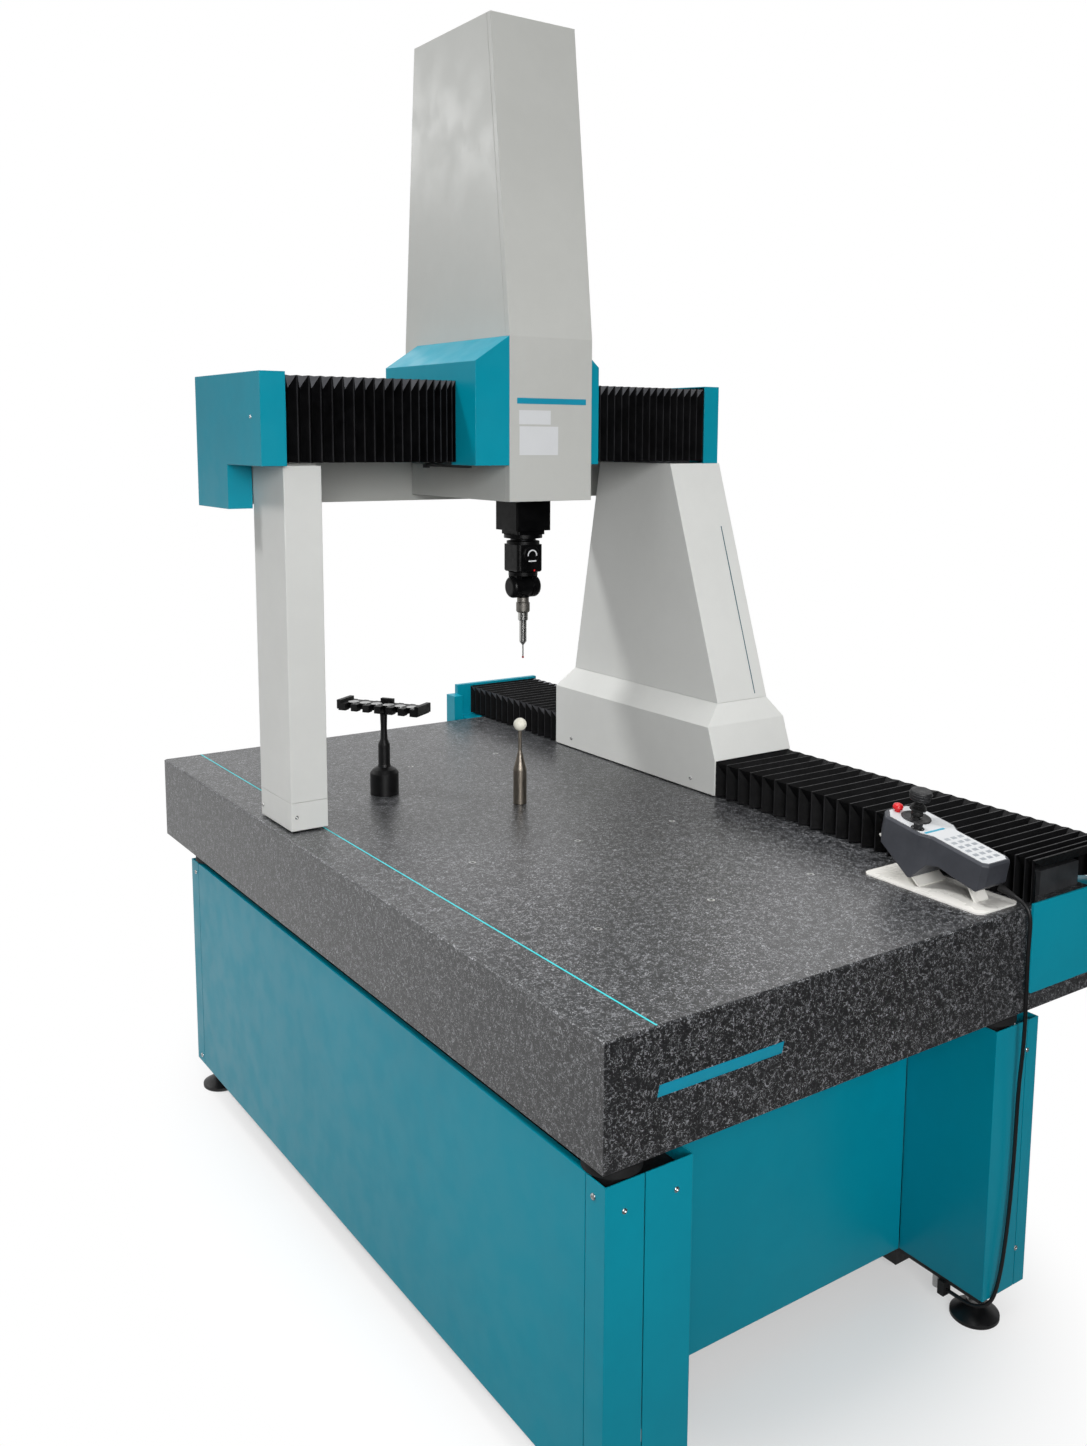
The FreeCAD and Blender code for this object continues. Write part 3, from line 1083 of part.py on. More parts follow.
ORIGIN_Y = (-CAP_PLATE + TABLE_LENGTH + GUIDE_OVERHANG) / 2


def export():
    os.makedirs("parts", exist_ok=True)
    for maker in PARTS:
        shape = maker()
        name = maker.__name__
        if not shape.isValid() or shape.Volume <= 0:
            print("PROBLEM", name, shape.isValid(), shape.Volume)
        shape.translate(V(-ORIGIN_X, -ORIGIN_Y, TABLE_HEIGHT))
        shape.exportStep("parts/" + name + ".step")
        print("%-24s solids %3d faces %4d" % (name, len(shape.Solids), len(shape.Faces)))


export()
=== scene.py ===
"""Bridge coordinate measuring machine: finishes, folded bellows, pendant cord and small details."""
import json
import math

import bmesh
import bpy
from mathutils import Matrix, Vector


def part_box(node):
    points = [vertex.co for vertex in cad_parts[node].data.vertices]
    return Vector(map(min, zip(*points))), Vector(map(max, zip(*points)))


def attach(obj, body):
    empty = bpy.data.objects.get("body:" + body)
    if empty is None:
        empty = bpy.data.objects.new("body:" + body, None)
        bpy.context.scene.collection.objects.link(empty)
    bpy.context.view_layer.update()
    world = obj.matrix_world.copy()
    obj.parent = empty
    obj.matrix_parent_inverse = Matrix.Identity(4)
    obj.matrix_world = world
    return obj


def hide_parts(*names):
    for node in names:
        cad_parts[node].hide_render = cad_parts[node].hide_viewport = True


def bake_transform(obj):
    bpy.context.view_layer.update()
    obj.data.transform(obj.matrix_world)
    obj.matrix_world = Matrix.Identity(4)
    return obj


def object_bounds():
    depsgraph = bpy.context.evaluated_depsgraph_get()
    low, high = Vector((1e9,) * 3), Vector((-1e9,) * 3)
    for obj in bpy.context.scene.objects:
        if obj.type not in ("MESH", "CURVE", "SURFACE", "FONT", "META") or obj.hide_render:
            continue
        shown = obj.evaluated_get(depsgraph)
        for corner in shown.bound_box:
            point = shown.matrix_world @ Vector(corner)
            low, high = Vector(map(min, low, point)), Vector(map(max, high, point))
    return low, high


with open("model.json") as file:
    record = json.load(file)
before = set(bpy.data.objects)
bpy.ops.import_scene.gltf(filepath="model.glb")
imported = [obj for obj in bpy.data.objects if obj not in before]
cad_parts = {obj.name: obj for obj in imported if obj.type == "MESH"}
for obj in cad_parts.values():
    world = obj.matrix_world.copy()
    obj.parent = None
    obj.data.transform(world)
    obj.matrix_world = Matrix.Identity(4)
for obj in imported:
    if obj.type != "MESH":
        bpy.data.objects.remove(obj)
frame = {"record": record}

LOW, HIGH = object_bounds()
TABLE_LOW, TABLE_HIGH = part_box("granite_table")
CORNER = Vector((TABLE_LOW.x, TABLE_LOW.y, TABLE_HIGH.z))
MM = 0.001
SCENE = bpy.context.scene


def at(x, y, z):
    """Row-frame point from millimetres right of, behind and above the granite's front left top corner."""
    return CORNER + Vector((x, y, z)) * MM


# ---------------------------------------------------------------- camera and cord
EYE = (-958.32, -1291.30, 784.23)
EYE_RIGHT = Vector((0.82138, -0.57034, 0.00643))
EYE_UP = Vector((0.07354, 0.11707, 0.99040))
SENSOR, LENS = 36.0, 32.283
SHIFT = (-0.01815, -0.0712)


def make_camera():
    """Standing viewpoint off the front left corner."""
    data = bpy.data.cameras.new("camera")
    camera = bpy.data.objects.new("camera", data)
    SCENE.collection.objects.link(camera)
    turn = Matrix((EYE_RIGHT, EYE_UP, EYE_RIGHT.cross(EYE_UP))).transposed().to_4x4()
    camera.matrix_world = Matrix.Translation(at(*EYE)) @ turn
    data.sensor_width = SENSOR
    data.lens = LENS
    data.shift_x, data.shift_y = SHIFT
    data.clip_start, data.clip_end = 0.05, 200.0
    SCENE.camera = camera


CABLE_D = 7.0
CABLE_ROUTE = [
    (880.0, 18.0, 17.0), (883.0, -3.5, 9.5), (884.0, -13.0, -12.0), (885.0, -12.0, -42.0),
    (887.0, -9.5, -86.0), (892.0, -7.5, -150.0), (895.5, -6.0, -240.0), (897.0, 1.0, -330.0),
    (900.0, 3.5, -430.0), (898.0, 4.5, -530.0), (889.0, 4.0, -620.0), (877.0, 4.5, -690.0),
    (867.0, 12.0, -733.0), (861.0, 42.0, -752.0), (859.5, 76.0, -752.0), (859.5, 100.0, -752.0)]


def make_cord():
    """Pendant cable: out of the strain relief, over the granite's edge and down to the gland under the base."""
    data = bpy.data.curves.new("pendant_cord", "CURVE")
    data.dimensions = "3D"
    spline = data.splines.new("NURBS")
    spline.points.add(len(CABLE_ROUTE) - 1)
    for point, place in zip(spline.points, CABLE_ROUTE):
        point.co = (*at(*place), 1.0)
    spline.order_u = 3
    spline.use_endpoint_u = True
    spline.resolution_u = 10
    data.bevel_depth = CABLE_D / 2 * MM
    data.bevel_resolution = 5
    data.use_fill_caps = True
    cord = bpy.data.objects.new("pendant_cord", data)
    SCENE.collection.objects.link(cord)
    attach(cord, "base")
    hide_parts("pendant_cable")
    return cord


make_camera()
CORD = make_cord()


# ---------------------------------------------------------------- material tools
def hexed(text):
    """sRGB hex text to the linear colour that the nodes use."""
    channels = [int(text[i:i + 2], 16) / 255 for i in (0, 2, 4)]
    return [c / 12.92 if c <= 0.04045 else ((c + 0.055) / 1.055) ** 2.4 for c in channels] + [1.0]


def plug(tree, node, sockets):
    """Each socket is given a value or another node's output."""
    for name, value in sockets.items():
        if isinstance(value, bpy.types.NodeSocket):
            tree.links.new(value, node.inputs[name])
        else:
            node.inputs[name].default_value = value


def add(tree, kind, sockets=None, **settings):
    """One node with its settings and links."""
    node = tree.nodes.new(kind)
    for name, value in settings.items():
        setattr(node, name, value)
    plug(tree, node, sockets or {})
    return node


def bare_surface(name):
    """A new material, its node tree, its shader and the places on the part in millimetres."""
    material = bpy.data.materials.new(name)
    material.use_nodes = True
    tree = material.node_tree
    place = add(tree, "ShaderNodeTexCoord").outputs["Object"]
    mm = add(tree, "ShaderNodeVectorMath", {0: place, 1: (1000, 1000, 1000)}, operation="MULTIPLY").outputs[0]
    return material, tree, tree.nodes["Principled BSDF"], mm


def blotches(tree, mm, size, detail=2.0, crumble=0.5, limits=(0.3, 0.7), values=(0.0, 1.0)):
    """Soft-edged blotches of a size in millimetres, as a number between the two values."""
    cloud = add(tree, "ShaderNodeTexNoise", {
        "Vector": mm, "Scale": 1 / size, "Detail": detail, "Roughness": crumble}).outputs["Fac"]
    return add(tree, "ShaderNodeMapRange", {
        "Value": cloud, "From Min": limits[0], "From Max": limits[1], "To Min": values[0], "To Max": values[1]},
        interpolation_type="SMOOTHSTEP").outputs[0]


def mottled(tree, mm, first, second, size, crumble=0.5, limits=(0.35, 0.7)):
    """Colour that wanders between two tones, in blotches of a size in millimetres."""
    share = blotches(tree, mm, size, 3.0, crumble, limits)
    return add(tree, "ShaderNodeMix", {0: share, 6: hexed(first), 7: hexed(second)}, data_type="RGBA").outputs[2]


def softened(tree, relief, depth, edge):
    """Relief of a depth in millimetres over edges that are broken to a radius."""
    rounded = add(tree, "ShaderNodeBevel", {"Radius": edge * MM}, samples=6).outputs[0]
    return add(tree, "ShaderNodeBump", {
        "Height": relief, "Distance": depth * MM, "Strength": 1.0, "Normal": rounded}).outputs[0]


# ---------------------------------------------------------------- materials
CLOUD, DUST, DUST_SHARE = 420.0, 38.0, 0.3     # sizes of the faint tones in sprayed powder


def powder_coated_steel(name, colour, shade, peel, depth, rough, coat=0.0, edge=1.6, level=0.5):
    """Sheet steel, powder coated: satin, with a faint cloudy tone and orange peel of the size given."""
    material, tree, shader, mm = bare_surface(name)
    cloud = add(tree, "ShaderNodeTexNoise", {"Vector": mm, "Scale": 1 / CLOUD}).outputs["Fac"]
    dust = add(tree, "ShaderNodeTexNoise", {
        "Vector": mm, "Scale": 1 / DUST, "Detail": 3.0, "Roughness": 0.6}).outputs["Fac"]
    tone = add(tree, "ShaderNodeMix", {0: DUST_SHARE, 2: cloud, 3: dust}).outputs[0]
    tone = add(tree, "ShaderNodeMapRange", {"Value": tone, "From Min": 0.35, "From Max": 0.65},
               interpolation_type="SMOOTHSTEP").outputs[0]
    bumps = add(tree, "ShaderNodeTexNoise", {"Vector": mm, "Scale": 1 / peel, "Detail": 1.0}).outputs["Fac"]
    normal = softened(tree, bumps, depth, edge)
    tone = add(tree, "ShaderNodeMix", {0: tone, 6: hexed(shade), 7: hexed(colour)}, data_type="RGBA").outputs[2]
    plug(tree, shader, {
        "Base Color": tone,
        "Roughness": blotches(tree, mm, 60, 3.0, values=(rough - 0.05, rough + 0.06)),
        "Specular IOR Level": level, "Normal": normal, "Coat Weight": coat, "Coat Roughness": 0.18})
    if coat:
        plug(tree, shader, {"Coat Normal": normal})
    return material


GRAIN, POWDER = 3.2, 1.6                        # sizes of the stone's crystals
FLECK_CUT, FLECK_BEND = 0.35, 0.9


def pale_flecks(tree, mm, size, width, patch, limits, shift):
    """Short curved lines of pale crystals, kept to patches; drawn wider than real ones so that they show."""
    place = add(tree, "ShaderNodeMapping", {"Vector": mm, "Location": shift}).outputs[0]
    wave = add(tree, "ShaderNodeTexNoise", {
        "Vector": place, "Scale": 1 / size, "Detail": 1.0, "Roughness": 0.4, "Distortion": FLECK_BEND}).outputs["Fac"]
    off = add(tree, "ShaderNodeMath", {0: wave, 1: 0.5}, operation="SUBTRACT").outputs[0]
    off = add(tree, "ShaderNodeMath", {0: off}, operation="ABSOLUTE").outputs[0]
    line = add(tree, "ShaderNodeMapRange", {"Value": off, "From Min": width, "From Max": width * FLECK_CUT},
               interpolation_type="SMOOTHSTEP").outputs[0]
    kept = blotches(tree, place, patch, 1.0, limits=limits)
    return add(tree, "ShaderNodeMath", {0: line, 1: kept}, operation="MULTIPLY").outputs[0]


def ground_gabbro():
    """Dark gabbro, fine-ground: charcoal grains with short pale curved flecks, and a satin face."""
    material, tree, shader, mm = bare_surface("ground_gabbro")
    grain = add(tree, "ShaderNodeTexVoronoi", {"Vector": mm, "Scale": 1 / GRAIN}).outputs["Color"]
    grey = add(tree, "ShaderNodeSeparateColor", {0: grain}).outputs[0]
    grey = add(tree, "ShaderNodeMapRange", {"Value": grey}, interpolation_type="SMOOTHSTEP").outputs[0]
    powder = {"detail": 2.0, "crumble": 0.6}
    worms = add(tree, "ShaderNodeMath", {
        0: pale_flecks(tree, mm, 8.0, 0.030, 11.0, (0.45, 0.52), (0, 0, 0)),
        1: pale_flecks(tree, mm, 6.5, 0.026, 9.0, (0.47, 0.55), (417, 133, 291))}, operation="MAXIMUM").outputs[0]
    share = add(tree, "ShaderNodeMath", {0: worms, 1: 0.55}, operation="MULTIPLY").outputs[0]
    place = add(tree, "ShaderNodeMapping", {"Vector": mm, "Location": (71, 9, 53)}).outputs[0]
    specks = blotches(tree, place, 2.4, 0.0, limits=(0.72, 0.78), values=(0.0, 0.5))
    body = hexed("0B0C0D")
    for amount, tone in (
            (grey, "1C1D1F"),
            (blotches(tree, mm, POWDER, **powder, limits=(0.42, 0.66), values=(0.0, 0.4)), "404144"),
            (share, "B4B6BA"), (specks, "D6D8DA")):
        body = add(tree, "ShaderNodeMix", {0: amount, 6: body, 7: hexed(tone)}, data_type="RGBA").outputs[2]
    fine = add(tree, "ShaderNodeTexNoise", {
        "Vector": mm, "Scale": 1 / POWDER, "Detail": 2.0, "Roughness": 0.6}).outputs["Fac"]
    relief = add(tree, "ShaderNodeMath", {0: worms, 1: 0.4, 2: fine}, operation="MULTIPLY_ADD").outputs[0]
    plug(tree, shader, {
        "Base Color": body, "Specular IOR Level": 1.0,
        "Roughness": blotches(tree, mm, POWDER, **powder, values=(0.28, 0.42)),
        "Normal": softened(tree, relief, 0.05, 2.0)})
    return material


def coated_cloth(name, colour, light, rough):
    """Polyester cloth with a rubbery coat: nearly black, dull, slightly uneven; the weave is drawn coarse to show."""
    material, tree, shader, mm = bare_surface(name)
    weave = add(tree, "ShaderNodeTexNoise", {"Vector": mm, "Scale": 1 / 0.9, "Detail": 1.0}).outputs["Fac"]
    swell = add(tree, "ShaderNodeTexNoise", {"Vector": mm, "Scale": 1 / 18}).outputs["Fac"]
    relief = add(tree, "ShaderNodeMath", {0: swell, 1: 2.5, 2: weave}, operation="MULTIPLY_ADD").outputs[0]
    plug(tree, shader, {
        "Base Color": mottled(tree, mm, colour, light, 45),
        "Roughness": blotches(tree, mm, 14, values=(rough - 0.06, rough + 0.08)),
        "Specular IOR Level": 0.16,
        "Normal": add(tree, "ShaderNodeBump", {
            "Height": relief, "Distance": 0.25 * MM, "Strength": 1.0}).outputs[0]})
    return material


def ground_metal(name, colour, rough, along=(1, 1, 1), depth=0.01, light="E4E4E2"):
    """Ground, turned or brushed metal: soft reflections drawn out along the lay; the lay is coarse enough to show."""
    material, tree, shader, mm = bare_surface(name)
    drawn = add(tree, "ShaderNodeMapping", {"Vector": mm, "Scale": along}).outputs[0]
    lay = add(tree, "ShaderNodeTexNoise", {
        "Vector": drawn, "Scale": 1 / 0.8, "Detail": 3.0, "Roughness": 0.6}).outputs["Fac"]
    plug(tree, shader, {
        "Base Color": mottled(tree, drawn, colour, light, 0.8, 0.6, (0.3, 0.7)),
        "Roughness": blotches(tree, mm, 9, values=(rough - 0.06, rough + 0.08)),
        "Metallic": 1.0, "Normal": softened(tree, lay, depth, 0.4)})
    return material


def moulded(name, colour, light, rough, grain=0.7, depth=0.04, edge=0.8, size=60, level=0.5):
    """Plastic, rubber or anodised skin: even tone, broken edges; the grain, really about 0.1 mm, is coarse to show."""
    material, tree, shader, mm = bare_surface(name)
    skin = add(tree, "ShaderNodeTexNoise", {"Vector": mm, "Scale": 1 / grain, "Detail": 1.0}).outputs["Fac"]
    plug(tree, shader, {
        "Base Color": mottled(tree, mm, colour, light, size, 0.6),
        "Roughness": blotches(tree, mm, 12, values=(rough - 0.06, rough + 0.08)),
        "Specular IOR Level": level, "Normal": softened(tree, skin, depth, edge)})
    return material


BALL_D = 5.0


def ruby_tipped_steel():
    """Stylus of ground steel with a polished ruby ball: a bright stem and a deep red tip."""
    material, tree, shader, mm = bare_surface("ruby_tipped_steel")
    ball_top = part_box("stylus")[0].z / MM + BALL_D
    height = add(tree, "ShaderNodeSeparateXYZ", {0: mm}).outputs[2]
    ruby = add(tree, "ShaderNodeMapRange", {
        "Value": height, "From Min": ball_top + 0.1, "From Max": ball_top - 0.1},
        interpolation_type="SMOOTHSTEP").outputs[0]
    plug(tree, shader, {
        "Base Color": add(tree, "ShaderNodeMix", {
            0: ruby, 6: hexed("C9C9C6"), 7: hexed("B5121B")}, data_type="RGBA").outputs[2],
        "Metallic": add(tree, "ShaderNodeMath", {0: 1.0, 1: ruby}, operation="SUBTRACT").outputs[0],
        "Roughness": blotches(tree, mm, 3, 1.0, values=(0.22, 0.3))})
    return material


def polished_zirconia():
    """Reference sphere of zirconia, polished: warm white with a clear soft highlight."""
    material, tree, shader, mm = bare_surface("polished_zirconia")
    cloud = add(tree, "ShaderNodeTexNoise", {"Vector": mm, "Scale": 1 / 8}).outputs["Fac"]
    plug(tree, shader, {
        "Base Color": add(tree, "ShaderNodeMix", {
            0: cloud, 6: hexed("EDEAD8"), 7: hexed("F4F2E6")}, data_type="RGBA").outputs[2],
        "Coat Weight": 0.4, "Coat Roughness": 0.1,
        "Roughness": blotches(tree, mm, 5, 1.0, values=(0.22, 0.3))})
    return material


def painted_casting():
    """Aluminium casting under grey paint: dull, with the sand's texture showing through."""
    material, tree, shader, mm = bare_surface("painted_casting")
    sand = add(tree, "ShaderNodeTexNoise", {"Vector": mm, "Scale": 1 / 2.5}).outputs["Fac"]
    plug(tree, shader, {
        "Base Color": mottled(tree, mm, "6E7072", "85878A", 30),
        "Roughness": blotches(tree, mm, 8, values=(0.5, 0.65)), "Normal": softened(tree, sand, 0.12, 1.0)})
    return material


TEAL_PLATE = ("teal_powder_coated_steel", "0096AD", "0091A8", 2.6, 0.045, 0.34)
MATERIALS = {
    "granite": ground_gabbro(),
    # turned stainless steel inserts: small bright rings in the dark stone
    "insert_steel": ground_metal("turned_stainless_steel", "A9AAAA", 0.32),
    # turquoise vinyl tape: flat and bright
    "tape_line": powder_coated_steel("turquoise_vinyl_tape", "3FD6DC", "36CBD3", 1.2, 0.01, 0.45, edge=0.2),
    # square tube with black powder coat: dull, with soft edges
    "frame_steel": moulded("black_coated_tube", "0B0B0C", "141416", 0.55, 1.4, 0.06, 1.5, 120),
    # moulded rubber: dull black
    "rubber": moulded("moulded_rubber", "101011", "1B1B1C", 0.7, 0.9, 0.06, 0.8),
    # zinc-plated steel: cool grey with blurred reflections
    "zinc_steel": ground_metal("zinc_plated_steel", "9FA1A3", 0.36),
    # moulded nylon feet: black with a low gloss
    "foot_black": moulded("moulded_nylon_foot", "0C0C0D", "17181A", 0.38, 1.0, 0.05, 1.0),
    # sheet steel with teal powder coat: satin with orange peel
    "teal_paint": powder_coated_steel(*TEAL_PLATE, level=0.3),
    # lapped stone guide: dark grey, fine and even
    "rail_stone": moulded("lapped_stone_rail", "2B2C2E", "3A3B3D", 0.4, 1.2, 0.03, 1.0),
    # sheet steel with light grey powder coat: nearly white, soft sheen
    "light_paint": powder_coated_steel("light_powder_coated_steel", "DFE0DD", "DBDCD9", 2.4, 0.03, 0.42),
    # sheet steel with the legs' pale powder coat, given a darker grey that is painted shade on the column: satin,
    # catches the lamp behind
    "column_paint": powder_coated_steel("pale_powder_coat_painted_shade", "C6C7C3", "C2C3BF", 2.4, 0.045, 0.34),
    "casting": painted_casting(),
    # fired alumina tube: pale and dense
    "leg_ceramic": moulded("fired_alumina", "CFCFCB", "DADAD6", 0.4, 1.5, 0.02, 1.0),
    # ground aluminium bearing pads: grey with fine lay
    "pad_metal": ground_metal("ground_aluminium", "9C9DA0", 0.4),
    # lapped stone beam: dark grey, fine and even
    "beam_stone": moulded("lapped_stone_beam", "2E2F31", "404144", 0.4, 1.4, 0.03, 1.0),
    # black anodised aluminium ram: deep black with a thin sheen
    "ram_black": moulded("anodised_aluminium_ram", "050506", "0B0B0C", 0.34, 0.8, 0.02, 0.8, level=0.16),
    # black anodised aluminium head: deep black, sheen on its rounded edges
    "head_black": moulded("anodised_aluminium_head", "050506", "0C0C0D", 0.33, 0.7, 0.025, 0.8, level=0.2),
    # satin-turned steel probe: warm grey rings
    "probe_steel": ground_metal("satin_turned_steel", "7C7974", 0.5, (0.05, 0.05, 2), 0.001, "98958F"),
    # brushed stainless steel stand: warm grey streaks along its height
    "stand_steel": ground_metal("brushed_stainless_steel", "7A7268", 0.44, (2, 2, 0.05), 0.001, "968E83"),
    "sphere_ceramic": polished_zirconia(),
    # black anodised aluminium rack: black, low sheen
    "rack_black": moulded("anodised_aluminium_rack", "070708", "101011", 0.42, 0.7, 0.03, 1.0, level=0.3),
    # moulded ABS case: slate grey with a fine grain
    "case_grey": moulded("moulded_grey_abs", "3A3C42", "42444A", 0.42, 0.8, 0.035, 2.2),
    # polycarbonate face plate: smooth white
    "plate_white": powder_coated_steel("white_polycarbonate", "CBCDCF", "C6C8CA", 1.2, 0.008, 0.35, edge=0.8),
    # moulded silicone boot: matt black
    "boot": moulded("moulded_silicone", "0D0D0D", "161616", 0.6, 0.8, 0.04, 0.7),
    # moulded nylon knobs: charcoal with a fine grain
    "knob_black": moulded("moulded_nylon_knob", "1B1B1C", "28282A", 0.5, 0.7, 0.04, 1.2),
    # moulded acetal button: bright red with a gloss
    "red_cap": moulded("moulded_red_acetal", "C4161C", "D01D22", 0.3, 0.8, 0.01, 1.0),
    # folded sheet with white enamel: smooth, with a thin clear gloss
    "stand_sheet": powder_coated_steel("white_enamelled_steel", "EFEDE8", "EAE8E2", 1.5, 0.01, 0.3, 0.2, edge=0.8),
    # extruded PVC jacket: black with a low gloss
    "cable_jacket": moulded("extruded_pvc", "0E0E0F", "18181A", 0.42, 1.0, 0.03, 0.0),
    "bellows": coated_cloth("coated_polyester_cloth", "020203", "08080A", 0.5),
}
# grey on the corner gussets of the bellows is painted light, standing for gusset facets lit from above, and the
# lighter grey on their folded crest edges is a painted highlight
GUSSET_PAINTED_LIGHT = coated_cloth("gusset_grey_painted_light", "606165", "747579", 0.45)
# painted highlight: the bellows' crest bands get this lighter grey to stand for the highlights along their edges
CREST_PAINTED_HIGHLIGHT = coated_cloth("crest_grey_painted_highlight", "1B1B1D", "28282A", 0.42)
# polished steel screws: small bright points
SCREW_STEEL = ground_metal("polished_screw_steel", "B9BABB", 0.25)
STYLUS_STEEL = ruby_tipped_steel()
# screen-printed inks and blank films: flat and even
INK_DARK = powder_coated_steel("dark_teal_ink", "1C5266", "1A4E62", 1.0, 0.004, 0.4, edge=0.1)
INK_TEAL = powder_coated_steel("teal_ink", "0E96B4", "0C90AE", 1.0, 0.004, 0.4, edge=0.1)
WHITE_FILM = powder_coated_steel("white_polyester_film", "DCDEE0", "D8DADC", 1.0, 0.004, 0.4, edge=0.1)
GREY_FILM = moulded("grey_polyester_film", "8F949A", "9CA1A6", 0.4, 0.6, 0.01, 0.4)

CORD.data.materials.append(MATERIALS["cable_jacket"])
SLOT_OF = {part["node"]: part["material_slot"] for part in frame["record"]["subparts"]}


def dress_nodes():
    """Every CAD node gets the material of its own slot."""
    for node, slot in SLOT_OF.items():
        material = STYLUS_STEEL if node == "stylus" else MATERIALS[slot]
        shown = bpy.data.objects[node]
        if not shown.data.materials:
            shown.data.materials.append(material)
        for index in range(len(shown.data.materials)):
            shown.data.materials[index] = material


dress_nodes()


# ---------------------------------------------------------------- mesh tools
def piece(name, body, points, faces, materials, indices=None):
    """A mesh object built from points in metres, riding on a body."""
    mesh = bpy.data.meshes.new(name)
    mesh.from_pydata([tuple(p) for p in points], [], faces)
    for material in materials:
        mesh.materials.append(material)
    for number, face in enumerate(mesh.polygons):
        face.material_index = indices[number] if indices else 0
    bm = bmesh.new()
    bm.from_mesh(mesh)
    bmesh.ops.recalc_face_normals(bm, faces=bm.faces)
    bm.to_mesh(mesh)
    bm.free()
    made = bpy.data.objects.new(name, mesh)
    SCENE.collection.objects.link(made)
    if body:
        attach(made, body)
    return made


def slab(name, body, outline, direction, thick, material):
    """A thin plate: a flat outline of points in metres, thickened along a direction."""
    step = Vector(direction).normalized() * thick * MM
    points = [Vector(p) for p in outline]
    count = len(points)
    points += [p + step for p in points]
    faces = [list(range(count))[::-1], list(range(count, 2 * count))]
    faces += [[i, (i + 1) % count, count + (i + 1) % count, count + i] for i in range(count)]
    return piece(name, body, points, faces, [material])


def frame_of(direction):
    """The direction at unit length and two more square to it."""
    direction = Vector(direction).normalized()
    side = direction.orthogonal().normalized()
    return direction, side, direction.cross(side)


def turned(name, body, foot, direction, profile, material, count=32, socket=0.0, closed=False):
    """A turned part: (radius, height) rings in millimetres, with a hexagonal socket on top if asked.

    A closed profile makes a ring with a hole through it."""
    up, side, third = frame_of(direction)
    rings = [(r, h, False) for r, h in profile]
    if socket:
        top = profile[-1][1]
        rings += [(socket, top - 0.1, True), (socket, top * 0.35, True)]
    points, faces = [], []
    for radius, height, hexed_ring in rings:
        for i in range(count):
            angle = 2 * math.pi * i / count
            reach = radius
            if hexed_ring:
                reach = radius / math.cos((angle % (math.pi / 3)) - math.pi / 6)
            points.append(foot + (side * math.cos(angle) * reach + third * math.sin(angle) * reach
                                  + up * height) * MM)
    for ring in range(len(rings) - 1):
        for i in range(count):
            j = (i + 1) % count
            faces.append([ring * count + i, ring * count + j, (ring + 1) * count + j, (ring + 1) * count + i])
    final = (len(rings) - 1) * count
    if closed:
        faces += [[final + i, final + (i + 1) % count, (i + 1) % count, i] for i in range(count)]
    else:
        faces.append(list(range(count))[::-1])
        faces.append([final + i for i in range(count)])
    return piece(name, body, points, faces, [material])


SCREW_PROFILE = [(1.0, 0.0), (1.0, 0.14), (0.94, 0.3), (0.8, 0.44), (0.62, 0.52)]
SOCKET_SHARE = 0.38           # hexagonal socket's size in head radii


def screw(name, body, foot, direction, radius=5.0):
    """Button-head socket screw."""
    profile = [(r * radius, h * radius) for r, h in SCREW_PROFILE]
    return turned(name, body, foot, direction, profile, SCREW_STEEL, 24, radius * SOCKET_SHARE)


# ---------------------------------------------------------------- bellows
CLOTH_THICK = 1.0             # all bellows sizes are in millimetres
WELT_HALF, WELT_SHARE = 1.3, 0.16
CORNER_IN, CORNER_DOWN = 1.0, 1.4


def stations(start, finish, pleats, growth):
    """Places of crests and valleys; a growth over 1 packs them closer at the start."""
    return [start + (finish - start) * (k / (2 * pleats)) ** growth for k in range(2 * pleats + 1)]


def spread(share):
    """Inverse of the smooth step that a blend follows."""
    return 0.5 - math.sin(math.asin(1 - 2 * share) / 3)


